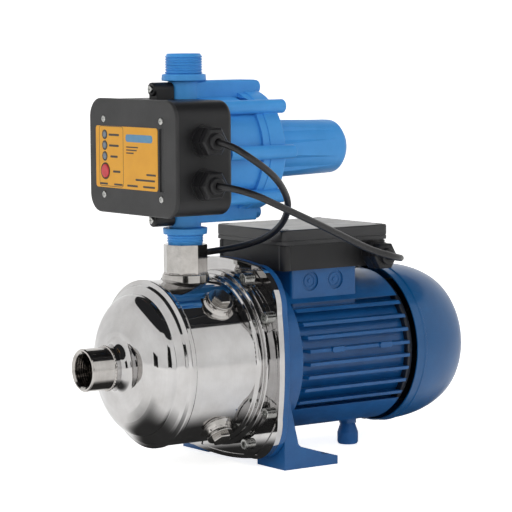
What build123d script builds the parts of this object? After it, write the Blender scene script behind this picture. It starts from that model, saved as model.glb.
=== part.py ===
from build123d import *
import os
from math import cos, sin, radians, tan, sqrt, pi

os.makedirs("parts", exist_ok=True)

# ---------------------------------------------------------------- driving dimensions (mm)
SHAFT_H = 93.4            # shaft axis above the floor
BARREL_R = 73.2           # casing barrel outside radius
SHEET = 1.5               # casing sheet thickness
SOCKET_FACE = -202.6      # suction socket face
SOCKET_R = 18.8
THREAD_R = 16.62          # G1 major radius
THREAD_MINOR = 15.15
FLANGE_X = -55.9          # front of the casing flange sheet
PLATE_BACK = -46.0        # back of the bracket plate
BOLT_CIRCLE = 84.4
BOLT_ANGLES = (30.0, 60.8)
PLUG_X = -95.0
PIPE_X = -94.6            # vertical pipe axis of the controller
CTRL_Z = 278.6            # horizontal axis of the controller valve body
FOOT_IN, FOOT_OUT = 38.9, 80.6
FOOT_FRONT, FOOT_BACK = -45.6, 12.6
FOOT_T = 7.5
FOOT_HOLE_R = 4.5
SPOT_Z = 10.4                # washer flat of each foot
COLLAR_R, COLLAR_END = 76.0, -21.5
FRAME_R, FRAME_CORE_R, FRAME_BORE_R = 70.0, 61.5, 56.0
FRAME_END = 104.0
FIN_PITCH, FIN_T, FIN_OFFSET = 11.8, 3.0, 1.6
COVER_FRONT, COVER_END, COVER_R, GRILLE_R = 110.5, 182.0, 73.4, 44.0
COVER_SCREWS = (100.0, 180.0, 260.0)
BOX_X0, BOX_X1, BOX_HALF_Y, BOX_Z0, BOX_Z1, BOX_Z2 = -25.5, 92.5, 52.5, 172.0, 194.0, 208.5
HOUSE_X0, HOUSE_X1, HOUSE_Y, HOUSE_Z0, HOUSE_Z1 = -146.4, -90.0, 69.0, 226.5, 325.5
LEAD_D = 6.0
GLAND_X, GLAND_ZU, GLAND_ZL = -119.9, 291.4, 253.8
BOX_GLAND_X, BOX_GLAND_Z = 74.0, 181.5


# ---------------------------------------------------------------- helpers
def save(shape, node):
    export_step(shape, f"parts/{node}.step")
    print(f"{node:22s} {shape.volume:12.1f} mm3  solids {len(shape.solids())}", flush=True)


def corner_fillet(face, rounded):
    for point, radius in rounded:
        vertex = min(face.vertices(), key=lambda v: (Vector(v.X, v.Y, v.Z) - point).length)
        face = face.fillet_2d(radius, [vertex])
    return face


def turned(profile, h=SHAFT_H, y=0.0):
    """Solid of revolution about a line along X from (x, radius[, corner radius]) points."""
    corners = [Vector(p[0], y, h + p[1]) for p in profile]
    face = make_face(Polyline(*corners, close=True)).face()
    rounded = [(c, p[2]) for c, p in zip(corners, profile) if len(p) > 2]
    return revolve(corner_fillet(face, rounded), Axis((0, y, h), (1, 0, 0)))


def turned_z(profile, x=0.0, y=0.0):
    """Solid of revolution about a vertical line from (z, radius[, corner radius]) points."""
    corners = [Vector(x + p[1], y, p[0]) for p in profile]
    face = make_face(Polyline(*corners, close=True)).face()
    rounded = [(c, p[2]) for c, p in zip(corners, profile) if len(p) > 2]
    return revolve(corner_fillet(face, rounded), Axis((x, y, 0), (0, 0, 1)))


def rod(x0, x1, r, y=0.0, h=SHAFT_H):
    return Plane((x0, y, h), x_dir=(0, 1, 0), z_dir=(1, 0, 0)) * extrude(Circle(r), x1 - x0)


def tube(x0, x1, r_out, r_in, y=0.0, h=SHAFT_H):
    return rod(x0, x1, r_out, y, h) - rod(x0 - 1, x1 + 1, r_in, y, h)


def rod_y(y0, y1, r, x, z):
    return Plane((x, y0, z), x_dir=(1, 0, 0), z_dir=(0, 1, 0)) * extrude(Circle(r), y1 - y0)


def post(z0, z1, r, x, y):
    return Pos(x, y, z0) * extrude(Circle(r), z1 - z0)


def block(x0, x1, y0, y1, z0, z1):
    return Pos((x0 + x1) / 2, (y0 + y1) / 2, (z0 + z1) / 2) * Box(x1 - x0, y1 - y0, z1 - z0)


def yz(x):
    """Sketch plane square to X: local x runs along +Y, local y runs up."""
    return Plane((x, 0, SHAFT_H), x_dir=(0, 1, 0), z_dir=(1, 0, 0))


def polar(angle, r, h=SHAFT_H):
    """Y and Z of a point; the angle starts at -Y and turns upward."""
    return -r * cos(radians(angle)), h + r * sin(radians(angle))


def radial(x, angle, r, h=SHAFT_H):
    """Plane at radius r whose normal points away from the shaft axis."""
    y, z = polar(angle, r, h)
    return Plane((x, y, z), x_dir=(1, 0, 0), z_dir=(0, -cos(radians(angle)), sin(radians(angle))))


def grooved(length, r_out, r_root, pitch, start=1.0):
    """Half profile of a threaded end: (distance, radius) points of V ridges."""
    points = []
    turns = int((length - start) / pitch)
    for i in range(turns):
        s = start + i * pitch
        points += [(s, r_root), (s + pitch * 0.25, r_out), (s + pitch * 0.5, r_out), (s + pitch * 0.75, r_root)]
    points.append((start + turns * pitch, r_root))
    return points


def square_outline(grow=0.0):
    """Rounded square of the flange: bowed sides and round corners."""
    a, side, mid, corner = 46.0, 86.0 + grow, 89.6 + grow, 106.0 + grow
    c = corner / sqrt(2)
    edges = []
    for k in range(4):
        t = Rot(0, 0, 90 * k)
        edges.append(t * ThreePointArc((-a, side), (0, mid), (a, side)))
        edges.append(t * ThreePointArc((a, side), (c, c), (side, a)))
    return make_face(edges)


def flange_bolts_at():
    return [polar(s * a if near else 180 - s * a, BOLT_CIRCLE)
            for a in BOLT_ANGLES for s in (1, -1) for near in (True, False)]


def hex_prism(plane, across_flats, height):
    return plane * extrude(RegularPolygon(across_flats / 2, 6, major_radius=False), height)


def pan_screw(plane, head_r, head_h, shank_r, length):
    """Cross head screw: the plane sits on the seat and points out of the part."""
    head = fillet(extrude(Circle(head_r), head_h).faces().sort_by(Axis.Z)[-1].edges(), head_h * 0.45)
    cross = Pos(0, 0, head_h * 0.55) * extrude(Rectangle(head_r * 1.1, 0.5) + Rectangle(0.5, head_r * 1.1), head_h)
    return plane * (head - cross + Pos(0, 0, -length) * extrude(Circle(shank_r), length))


# ---------------------------------------------------------------- pump casing
outer = [(-178.4, 18.8), (-166.2, 18.9, 8.0), (-166.2, 34.7, 40.0), (-157.8, 56.6, 26.0), (-149.3, 62.7, 7.5),
         (-146.2, 62.7, 1.2), (-141.4, 69.2, 1.5),
         (-139.0, 70.4, 0.8), (-137.4, 74.5, 1.2), (-133.4, 74.5, 1.2), (-132.0, BARREL_R, 1.0),
         (-70.2, BARREL_R, 1.0), (-68.6, 75.8, 1.2), (-65.0, 75.8, 1.2), (-63.8, 74.4, 0.7),
         (-62.4, 78.8, 1.2), (-58.8, 78.8, 1.2), (FLANGE_X + 0.8, 78.0)]


def sheet_back(points, t):
    """Inner side of a bent sheet: each corner moved inward along the mitre."""
    inner = []
    for i, p in enumerate(points):
        prev_p = points[max(i - 1, 0)]
        next_p = points[min(i + 1, len(points) - 1)]
        legs = [(b[0] - a[0], b[1] - a[1]) for a, b in ((prev_p, p), (p, next_p)) if a != b]
        normals = [(dy / sqrt(dx * dx + dy * dy), -dx / sqrt(dx * dx + dy * dy)) for dx, dy in legs]
        nx = sum(n[0] for n in normals)
        ny = sum(n[1] for n in normals)
        size = sqrt(nx * nx + ny * ny)
        nx, ny = nx / size, ny / size
        scale = t / (nx * normals[0][0] + ny * normals[0][1])
        corner = (p[0] + nx * scale, p[1] + ny * scale)
        if len(p) > 2 and p[2] > 5:
            hollow = legs[0][0] * legs[1][1] > legs[0][1] * legs[1][0]
            corner += (p[2] + t if hollow else p[2] - t,)
        inner.append(corner)
    return inner


shell = turned(outer + sheet_back(outer, SHEET)[::-1])
lip = square_outline() - square_outline(-SHEET)
shell += yz(FLANGE_X) * extrude(square_outline() - Circle(76.6), SHEET)
shell += yz(FLANGE_X) * extrude(lip, 4.4)
shell += yz(FLANGE_X - 0.9) * extrude(square_outline() - square_outline(-3.6), 1.0)
for quarter in range(4):
    sector = make_face(Polyline((0, 0), (130 * cos(radians(22.0)), 130 * sin(radians(22.0))), (110, 110),
                                (130 * cos(radians(68.0)), 130 * sin(radians(68.0))), close=True))
    pad = (Circle(96.0) - Circle(79.6)) & sector & square_outline(-3.0)
    shell += yz(FLANGE_X - 0.9) * extrude(Rot(0, 0, 90 * quarter) * pad, 1.0)
for y, z in flange_bolts_at():
    shell -= rod(-60, -50, 3.4, y, z)
for angle in (47.0, -49.0):
    shell -= radial(PLUG_X, angle, 60.0) * extrude(Circle(7.0), 20.0)
shell -= post(SHAFT_H + 60, SHAFT_H + 80, 15.0, PIPE_X, 0)
save(shell, "casing_shell")

body = [(SOCKET_FACE, 18.0), (SOCKET_FACE + 1.0, SOCKET_R), (-178.4, SOCKET_R), (-178.4, THREAD_MINOR)]
cut = grooved(20.0, THREAD_R, THREAD_MINOR, 2.309, 1.4)
body += [(SOCKET_FACE + s, r) for s, r in cut[::-1]] + [(SOCKET_FACE, THREAD_R)]
socket = turned(body)
socket += turned([(-180.6, 18.6), (-180.0, 19.6), (-178.9, 19.6), (-178.4, 18.8), (-178.4, 18.0), (-180.6, 18.0)])
save(socket, "suction_socket")

TOP_Z = 197.2
octagon = RegularPolygon(18.3, 8, major_radius=False)
coupling = Pos(PIPE_X, 0, 171.0) * extrude(octagon, TOP_Z - 171.0)
coupling += turned_z([(164.0, 15.4), (164.0, 21.6), (170.6, 20.6, 0.8), (171.8, 18.2), (171.8, 15.4)], PIPE_X)
coupling -= rod(-140, -60, BARREL_R + 0.01)
bore = [(160.0, 0.0), (160.0, THREAD_MINOR)] + [(TOP_Z - s, r) for s, r in grooved(20, THREAD_R, THREAD_MINOR, 2.309, 1.2)[::-1]]
coupling -= turned_z(bore + [(TOP_Z, THREAD_R), (TOP_Z + 1, THREAD_R), (TOP_Z + 1, 0.0)], PIPE_X)
save(coupling, "discharge_socket")

bosses = []
plugs = {}
for name, angle in (("fill_plug", 47.0), ("drain_plug", -49.0)):
    seat = radial(PLUG_X, angle, 68.0)
    boss = extrude(Circle(11.6), 10.4)
    boss = chamfer(boss.faces().sort_by(Axis.Z)[-1].edges(), 0.8) - extrude(Circle(6.05), 20.0)
    boss -= Pos(0, 0, 9.4) * extrude(Circle(8.0), 2.0)
    boss = seat * boss - rod(-140, -60, BARREL_R - SHEET - 0.5)
    skirt = Rot(90, 0, 0) * revolve(make_face(Polyline((0, 2.6), (15.6, 2.6), (15.6, 4.7), (13.2, 6.0), (12.0, 8.0),
                                                       (11.6, 9.8), (11.0, 10.4), (0, 10.4), close=True)), Axis.Y)
    collar = seat * (skirt - extrude(Circle(6.9), 20.0)) & turned(
        [(-120, BARREL_R + 0.01), (-120, 90), (-70, 90), (-70, BARREL_R + 0.01)])
    core = seat * (extrude(Circle(6.9), 9.4) - extrude(Circle(6.05), 9.4)) - rod(-140, -60, BARREL_R - SHEET)
    bosses.append(collar.solids()[0] + core.solids()[0])
    out = radial(PLUG_X, angle, 78.9)
    shank = extrude(Circle(5.98), -12.0)
    cap = fillet(extrude(Circle(11.8), 2.4).edges(), 0.6)
    head = Pos(0, 0, 2.2) * extrude(RegularPolygon(7.5, 6, major_radius=False), 4.6)
    head = chamfer(head.faces().sort_by(Axis.Z)[-1].edges(), 0.7)
    plugs[name] = out * (shank + cap + head)
    ring = Pos(0, 0, -0.45) * (extrude(Circle(9.6), 0.42) - extrude(Circle(6.2), 0.42))
    plugs[name + "_seal"] = out * ring
save(Compound(children=bosses), "casing_bosses")
for name, shape in plugs.items():
    save(shape, name)

bolts = []
for y, z in flange_bolts_at():
    seat = Plane((FLANGE_X - 0.9, y, z), x_dir=(0, 1, 0), z_dir=(-1, 0, 0))
    head = extrude(Circle(5.0), 5.2)
    head = fillet(head.faces().sort_by(Axis.Z)[-1].edges(), 0.6)
    head -= Pos(0, 0, 2.4) * extrude(RegularPolygon(2.5, 6, major_radius=False), 4.0)
    bolts.append(seat * (head + extrude(Circle(3.0), -14.0)))
save(Compound(children=bolts), "casing_bolts")

# ---------------------------------------------------------------- hydraulics
nozzle = turned([(-166.0, 9.0), (-166.0, 16.5), (-163.0, 17.2), (-160.0, 17.2), (-160.0, 13.0),
                 (-141.0, 6.4, 0.6), (-141.0, 4.2), (-158.0, 9.0)])
save(nozzle, "nozzle")
ejector = turned([(-160.0, 17.2), (-160.0, 19.4), (-137.0, 14.5, 3.0), (-104.0, 14.5, 3.0), (-98.5, 19.0, 1.0),
                  (-98.5, 16.0), (-104.0, 11.8, 3.0), (-122.0, 8.2, 3.0), (-137.0, 8.2, 3.0), (-143.0, 14.0),
                  (-157.0, 17.2)])
for k in range(4):
    slot = Rot(45 + 90 * k, 0, 0) * Box(9.0, 8.0, 60.0)
    keep = rod(-180, -90, 7.5)
    ejector -= (Pos(-150.0, 0, SHAFT_H) * slot) - keep
save(ejector, "ejector")
diffuser = turned([(-98.5, 16.2), (-98.5, 62.0, 3.0), (-78.0, 64.0), (-78.0, 68.0, 1.0), (-75.0, 68.0),
                   (-75.0, 62.0), (-95.0, 59.0, 3.0), (-95.6, 22.4), (-92.6, 22.4), (-92.6, 20.6), (-96.6, 19.2)])
for k in range(6):
    vane = ThreePointArc((44.0, 0), (52.0, 6.0), (66.0, 6.0))
    blade = yz(-98.5) * extrude(Rot(0, 0, 60 * k) * trace(vane, 1.6), -9.0)
    diffuser += blade & tube(-120, -98.4, 64.0, 40.0)
save(diffuser, "diffuser")
impeller = turned([(-94.6, 16.4), (-94.6, 19.0), (-91.6, 19.0), (-91.6, 56.0), (-89.8, 56.0), (-89.8, 20.0),
                   (-91.0, 16.4)])
impeller += turned([(-84.0, 6.5), (-84.0, 56.0), (-82.2, 56.0), (-82.2, 14.0), (-76.4, 12.0), (-76.4, 6.5)])
impeller += turned([(-92.0, 6.5), (-92.0, 10.0), (-84.0, 14.0), (-83.8, 14.0), (-83.8, 6.5)])
for k in range(6):
    curve = ThreePointArc((13.5, 0), (30.0, 13.0), (46.0, 31.0))
    blade = yz(-91.0) * extrude(Rot(0, 0, 60 * k) * trace(curve, 1.8), 7.6)
    impeller += blade & tube(-91.2, -83.0, 56.0, 12.0)
save(impeller, "impeller")
nut = Plane((-92.0, 0, SHAFT_H), x_dir=(0, 1, 0), z_dir=(-1, 0, 0)) * extrude(
    RegularPolygon(8.0, 6, major_radius=False), 7.0)
nut = nut - rod(-100, -80, 5.0)
save(nut, "impeller_nut")
seal_head = turned([(-70.0, 7.0), (-70.0, 13.5), (-66.0, 13.5), (-66.0, 12.0), (-62.3, 12.0), (-62.3, 9.0),
                    (-64.0, 9.0), (-64.0, 7.0)])
save(seal_head, "seal_head")
spring_path = Helix(pitch=2.4, height=4.4, radius=10.6, center=(0, 0, 0), direction=(0, 0, 1))
coil = sweep(Plane(origin=spring_path @ 0, z_dir=spring_path % 0) * Circle(0.7), path=spring_path)
spring = Plane((-75.5, 0, SHAFT_H), x_dir=(0, 1, 0), z_dir=(1, 0, 0)) * coil
save(spring, "seal_spring")
seat_ring = turned([(-62.0, 8.6), (-62.0, 12.0), (-58.0, 12.0), (-58.0, 14.0, 0.5), (-54.5, 14.0), (-54.5, 8.6)])
save(seat_ring, "seal_seat")
seal_plate = turned([(-58.0, 14.0), (-58.0, 19.0, 1.0), (-56.4, 22.0), (-56.4, 76.2), (-54.4, 76.2), (-54.4, 18.0),
                     (-52.6, 16.0), (-52.6, 9.6), (-54.5, 9.6), (-54.5, 14.0)])
save(seal_plate, "seal_plate")
gasket = revolve(Pos(0, 0, SHAFT_H) * (Plane.XZ * Pos(-53.3, 79.6) * Circle(1.1)), Axis((0, 0, SHAFT_H), (1, 0, 0)))
save(gasket, "casing_seal")

# ---------------------------------------------------------------- rotor line
shaft = turned([(-104.0, 0.0), (-104.0, 4.4), (-103.4, 5.0), (-92.0, 5.0), (-92.0, 6.5), (-76.4, 6.5),
                (-76.4, 7.0), (-50.0, 7.0), (-50.0, 8.5), (-23.5, 8.5), (-23.5, 10.0), (89.5, 10.0), (89.5, 8.5),
                (103.0, 8.5), (103.0, 6.5), (149.0, 6.5), (150.0, 5.8), (150.0, 0.0)])
save(shaft, "shaft")
slinger = turned([(-49.0, 8.5), (-49.0, 14.0), (-47.2, 15.6, 0.5), (-46.4, 12.0), (-45.0, 11.0), (-45.0, 8.5)])
save(slinger, "slinger")


def ball_bearing(x):
    ring = turned([(x, 8.54), (x, 11.4), (x + 1.0, 11.8), (x + 1.0, 17.2), (x, 17.6), (x, 19.6, 0.4), (x + 0.4, 20.0),
                   (x + 11.6, 20.0), (x + 12.0, 19.6), (x + 12.0, 17.6), (x + 11.0, 17.2), (x + 11.0, 11.8),
                   (x + 12.0, 11.4), (x + 12.0, 8.54)])
    return ring


save(Compound(children=[ball_bearing(-36.0), ball_bearing(90.0)]), "ball_bearings")
rotor = tube(2.0, 78.0, 31.4, 10.0)
rotor += tube(-4.0, 2.0, 29.0, 16.0) + tube(78.0, 84.0, 29.0, 16.0)
save(rotor, "rotor_core")
stator = tube(5.0, 75.0, FRAME_BORE_R, 31.9)
for k in range(24):
    y, z = polar(15 * k, 41.0)
    slot = Pos(40, y, z) * Rot(-15 * k, 0, 0) * Box(72.0, 10.0, 3.6)
    stator -= slot
save(stator, "stator_core")
ends = []
for x0, x1 in ((-14.0, 4.8), (75.2, 94.0)):
    ends.append(turned([(x0, 36.0, 4.0), (x0, 52.0, 5.0), (x1, 51.0, 2.0), (x1, 35.0, 2.0)]))
save(Compound(children=ends), "windings")

# ---------------------------------------------------------------- bracket with feet
bracket = yz(-51.3) * extrude(square_outline(), 5.3)
bracket += yz(-54.4) * extrude(square_outline(-1.6), 3.2)
bracket += turned([(PLATE_BACK - 0.1, 60.0), (PLATE_BACK - 0.1, COLLAR_R + 3.0), (-42.0, COLLAR_R),
                   (COLLAR_END, COLLAR_R), (COLLAR_END, 66.0), (-36.0, 62.0), (-38.0, 60.0)])
bracket -= turned([(-54.5, 18.2), (-54.5, 76.4), (-54.4, 76.4), (-54.4, 18.2)])
bracket -= turned([(-54.5, 78.4), (-54.5, 80.8), (-52.2, 80.8), (-52.2, 78.4)])
bracket += turned([(-42.0, 12.0), (-46.0, 12.0), (-46.0, 61.0), (-38.0, 61.0), (-38.0, 28.0), (-24.0, 27.0),
                   (-24.0, 20.0), (-36.0, 20.0), (-36.0, 16.5), (-38.0, 12.0)])
bracket -= rod(-60, -36.0, 10.6) + rod(-60, -44.0, 22.4)
for k in range(6):
    angle = 30 + 60 * k
    rib = Pos(-31.0, 0, SHAFT_H) * Rot(angle, 0, 0) * Pos(0, 0, 44.0) * Box(14.0, 4.0, 38.0)
    bracket += rib
foot_side = make_face([
    Polyline((FOOT_FRONT, 0), (FOOT_BACK, 0), (FOOT_BACK, FOOT_T), (2.6, SPOT_Z), (-4.4, SPOT_Z), (-6.4, 13.0),
             (-26.0, 19.0)),
    ThreePointArc((-26.0, 19.0), (-29.6, 21.0), (-31.2, 25.0)),
    ThreePointArc((-31.2, 25.0), (-34.4, 38.0), (-38.4, 54.0)),
    Polyline((-38.4, 54.0), (-39.0, 62.0), (FOOT_FRONT, 62.0), (FOOT_FRONT, 0)),
])
for side in (-1, 1):
    y_start = FOOT_IN if side > 0 else -FOOT_OUT
    foot = Plane((0, y_start, 0), x_dir=(1, 0, 0), z_dir=(0, -1, 0)) * extrude(foot_side, -(FOOT_OUT - FOOT_IN))
    foot -= rod(-60, 20, 64.0)
    hole_y = side * (FOOT_IN + FOOT_OUT) / 2
    foot -= post(-1, 40, FOOT_HOLE_R, 0.0, hole_y)
    foot -= post(SPOT_Z, 60, 9.0, 0.0, hole_y)
    hollow = block(FOOT_FRONT + 5.0, -33.0, min(side * 44.0, side * 75.0), max(side * 44.0, side * 75.0), -1, 20.0)
    bracket += foot - hollow
for y, z in flange_bolts_at():
    bracket -= rod(-60, -34.0, 3.02, y, z)
for k in range(4):
    y, z = polar(45 + 90 * k, 59.0)
    bracket -= rod(-40, 0, 2.55, y, z)
save(bracket, "bracket")

# ---------------------------------------------------------------- motor frame
frame = rod(COLLAR_END, FRAME_END, FRAME_R)
levels = [FIN_OFFSET + FIN_PITCH * (i - 3.5) for i in range(8)]
gap = FIN_PITCH - FIN_T
for side in (-1, 1):
    grooves = [(levels[i] + FIN_T / 2, levels[i + 1] - FIN_T / 2) for i in range(7)]
    grooves += [(levels[0] - FIN_T / 2 - 4.4, levels[0] - FIN_T / 2), (levels[-1] + FIN_T / 2, levels[-1] + FIN_T / 2 + 4.4)]
    for low, high in grooves:
        y0, y1 = sorted((side * 40.0, side * 80.0))
        frame -= block(-16.0, FRAME_END + 1, y0, y1, SHAFT_H + low, SHAFT_H + high)
    end_cut = Plane((0, 0, 0), x_dir=(1, 0, 0), z_dir=(0, 0, 1)) * extrude(
        make_face(Polyline((COLLAR_END - 0.1, side * 80), (COLLAR_END - 0.1, side * 44), (-18.0, side * 44),
                           (-5.0, side * 80), close=True)), 200)
    frame -= end_cut & block(-30, 0, min(side * 40, side * 90), max(side * 40, side * 90), SHAFT_H - 48, SHAFT_H + 48)
frame += rod(COLLAR_END, FRAME_END, FRAME_CORE_R)
for x in (22.0, 76.0):
    for side in (-1, 1):
        nub = Pos(x, side * 69.0, SHAFT_H + levels[4]) * Box(14.0, 4.0, 5.0)
        frame += fillet(nub.edges().filter_by(Axis.Y), 2.2)
pedestal = block(-12.0, 61.0, -46.0, 46.0, SHAFT_H + 30, BOX_Z0)
pedestal = fillet(pedestal.edges().filter_by(Axis.Z), 3.0)
for x in (9.0, 36.8):
    for side in (-1, 1):
        pedestal -= rod_y(min(side * 44.4, side * 50), max(side * 44.4, side * 50), 8.6, x, 161.0)
frame += pedestal
frame -= rod(COLLAR_END - 1, FRAME_END + 1, FRAME_BORE_R)
frame -= block(10.0, 48.0, -24.0, 24.0, SHAFT_H + 40, BOX_Z0 + 1)
for k in range(4):
    y, z = polar(45 + 90 * k, 59.0)
    frame -= rod(-30, 120, 2.6, y, z)
frame -= post(24.6, 30.6, 6.2, 85.5, 0)
foot_pad = post(19.6, 33.0, 8.0, 85.5, 0) - post(10.0, 29.6, 4.02, 85.5, 0)
frame += foot_pad - rod(-30, 120, 58.0)
frame -= post(10.0, 29.6, 4.02, 85.5, 0)
save(frame, "motor_frame")
rear_foot = turned_z([(0.0, 0.0), (0.0, 8.6, 0.8), (2.0, 9.7), (11.0, 9.7, 1.0), (19.6, 6.8), (19.6, 4.0),
                      (29.0, 4.0), (29.0, 0.0)], 85.5)
save(rear_foot, "rear_foot")

tie_bolts = []
for k in range(4):
    y, z = polar(45 + 90 * k, 59.0)
    head = Plane((109.2, y, z), x_dir=(0, 1, 0), z_dir=(1, 0, 0)) * extrude(
        RegularPolygon(4.0, 6, major_radius=False), 3.5)
    tie_bolts.append(head + rod(-34.0, 109.2, 2.5, y, z))
save(Compound(children=tie_bolts), "tie_bolts")
rear = turned([(FRAME_END, 24.0), (FRAME_END, 67.5, 1.0), (109.2, 67.5, 1.5), (109.2, 26.0), (104.0, 12.0), (102.0, 12.0),
               (102.0, 20.0), (90.0, 20.0), (90.0, 25.0, 1.0), (98.0, 26.0)])
for k in range(4):
    y, z = polar(45 + 90 * k, 59.0)
    rear -= rod(90, 120, 2.55, y, z)
for angle in COVER_SCREWS:
    rear += rod(109.0, 118.0, 5.0, *polar(angle, 66.8)) & rod(100, 120, 72.1)
    rear -= radial(114.6, angle, 50.0) * extrude(Circle(1.52), 30.0)
save(rear, "rear_shield")

# ---------------------------------------------------------------- fan and cover
fan = turned([(126.0, 6.5), (126.0, 13.0), (138.0, 12.0), (140.0, 58.0), (142.0, 58.0), (142.0, 12.0),
              (146.0, 12.0), (146.0, 6.5)])
for k in range(7):
    fan += Pos(132.5, 0, SHAFT_H) * Rot(k * 360 / 7, 0, 0) * Pos(0, 0, 34.0) * Box(17.0, 2.2, 47.0)
save(fan, "fan")


def dome(x0, x1, r0, r1, grow=0.0):
    """Deep drawn curve from the cover barrel to its flat end."""
    points = []
    for i in range(7):
        t = radians(15.0 * i)
        points.append(Vector(x0 + (x1 - grow - x0) * sin(t), 0, SHAFT_H + r1 + (r0 - grow - r1) * cos(t)))
    return Spline(*points, tangents=[(1, 0, 0), (0, 0, -1)])


outer_curve = dome(122.0, COVER_END, COVER_R, GRILLE_R)
inner_curve = dome(122.0, COVER_END, COVER_R, GRILLE_R, 1.2)
section = make_face([
    Polyline((COVER_FRONT, 0, SHAFT_H + COVER_R - 1.2), (COVER_FRONT, 0, SHAFT_H + COVER_R),
             (118.2, 0, SHAFT_H + COVER_R), (119.0, 0, SHAFT_H + COVER_R + 0.9), (120.6, 0, SHAFT_H + COVER_R + 0.9),
             (121.4, 0, SHAFT_H + COVER_R), outer_curve @ 0),
    outer_curve,
    Polyline(outer_curve @ 1, (COVER_END, 0, SHAFT_H), (COVER_END - 1.2, 0, SHAFT_H), inner_curve @ 1),
    inner_curve,
    Line(inner_curve @ 0, (COVER_FRONT, 0, SHAFT_H + COVER_R - 1.2)),
])
cover = revolve(section, Axis((0, 0, SHAFT_H), (1, 0, 0)))
for ring_r, count in ((13.0, 8), (23.0, 14), (33.0, 20), (41.0, 26)):
    for k in range(count):
        y, z = polar(360 / count * k, ring_r)
        cover -= Pos(COVER_END, y, z) * Rot(-360 / count * k, 0, 0) * Box(6.0, 7.0, 4.2)
for angle in COVER_SCREWS:
    cover -= radial(114.6, angle, 60.0) * extrude(Circle(1.9), 20.0)
save(cover, "fan_cover")
save(Compound(children=[pan_screw(radial(114.6, a, COVER_R + 0.02), 3.4, 2.0, 1.5, 9.0) for a in COVER_SCREWS]),
     "fan_cover_screws")

# ---------------------------------------------------------------- terminal box
mid_x = (BOX_X0 + BOX_X1) / 2
corners = [(x, y) for x in (BOX_X0 + 6.0, BOX_X1 - 6.0) for y in (-BOX_HALF_Y + 6.0, BOX_HALF_Y - 6.0)]
base = fillet(block(BOX_X0 + 1.5, BOX_X1 - 1.5, -BOX_HALF_Y + 1.5, BOX_HALF_Y - 1.5, BOX_Z0, BOX_Z1).edges()
              .filter_by(Axis.Z), 5.0)
base -= block(BOX_X0 + 4.0, BOX_X1 - 4.0, -BOX_HALF_Y + 4.0, BOX_HALF_Y - 4.0, BOX_Z0 + 2.5, BOX_Z1 + 1)
for x, y in corners:
    base += post(BOX_Z0, BOX_Z1, 5.4, x, y)
    base -= post(BOX_Z0 + 6, BOX_Z1 + 1, 1.62, x, y)
base -= block(14.0, 44.0, -20.0, 20.0, BOX_Z0 - 1, BOX_Z0 + 4)
gland_boss = rod_y(-BOX_HALF_Y - 2.5, -BOX_HALF_Y + 4.5, 11.0, BOX_GLAND_X, BOX_GLAND_Z + 1.5) & block(
    40, 100, -80, 0, BOX_Z0, BOX_Z1)
base += gland_boss
base -= rod_y(-BOX_HALF_Y - 5, -BOX_HALF_Y + 8, 8.05, BOX_GLAND_X, BOX_GLAND_Z)
base -= block(BOX_GLAND_X - 10.6, BOX_GLAND_X + 10.6, -BOX_HALF_Y + 4.4, -BOX_HALF_Y + 10.0, BOX_Z0 + 0.7, 190.0)
save(base, "terminal_base")
outline = fillet(block(BOX_X0 + 1.5, BOX_X1 - 1.5, -BOX_HALF_Y + 1.5, BOX_HALF_Y - 1.5, BOX_Z1, BOX_Z1 + 1.0).edges()
                 .filter_by(Axis.Z), 5.0)
lid_gasket = outline - block(BOX_X0 + 4.5, BOX_X1 - 4.5, -BOX_HALF_Y + 4.5, BOX_HALF_Y - 4.5, 190, 200)
for x, y in corners:
    lid_gasket -= post(190, 200, 1.9, x, y)
save(lid_gasket, "lid_gasket")
lid = fillet(block(BOX_X0, BOX_X1, -BOX_HALF_Y, BOX_HALF_Y, BOX_Z1 + 1.0, BOX_Z2).edges().filter_by(Axis.Z), 4.0)
lid = fillet(lid.faces().sort_by(Axis.Z)[-1].edges(), 1.6)
lid -= block(BOX_X0 + 2.4, BOX_X1 - 2.4, -BOX_HALF_Y + 2.4, BOX_HALF_Y - 2.4, BOX_Z1, BOX_Z2 - 2.4)
for z in (BOX_Z1 + 4.4,):
    groove = block(BOX_X0 - 1, BOX_X1 + 1, -BOX_HALF_Y - 1, BOX_HALF_Y + 1, z, z + 0.8)
    keep = fillet(block(BOX_X0 + 0.6, BOX_X1 - 0.6, -BOX_HALF_Y + 0.6, BOX_HALF_Y - 0.6, z - 1, z + 2).edges()
                  .filter_by(Axis.Z), 3.6)
    lid -= groove - keep
for x, y in corners:
    lid += post(BOX_Z1 + 1.0, BOX_Z2 - 2.0, 5.0, x, y)
    lid -= post(BOX_Z1, BOX_Z2 + 1, 1.9, x, y)
    lid -= post(BOX_Z2 - 2.6, BOX_Z2 + 1, 3.9, x, y)
save(lid, "terminal_lid")
up = Plane((0, 0, 0), x_dir=(1, 0, 0), z_dir=(0, 0, 1))
save(Compound(children=[pan_screw(Pos(x, y, BOX_Z2 - 2.6) * up, 3.5, 2.2, 1.6, 22.0) for x, y in corners]),
     "terminal_screws")
capacitor = rod(-8.0, 62.0, 14.6, 28.0, 190.0)
capacitor = fillet(capacitor.edges(), 1.5) + rod(61.9, 66.0, 9.0, 28.0, 190.0)
for y in (24.0, 32.0):
    capacitor += block(65.9, 73.0, y - 0.4, y + 0.4, 187.0, 193.3)
save(capacitor, "capacitor")
strip = block(-10.0, 40.0, -38.0, -22.0, BOX_Z0 + 2.5, BOX_Z0 + 14.5)
for k in range(5):
    x = -5.0 + 10.0 * k
    strip -= block(x - 3.6, x + 3.6, -36.0, -24.0, BOX_Z0 + 8.5, BOX_Z0 + 16)
    strip += post(BOX_Z0 + 8.4, BOX_Z0 + 12.5, 2.6, x, -30.0)
save(strip, "terminal_block")


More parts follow.
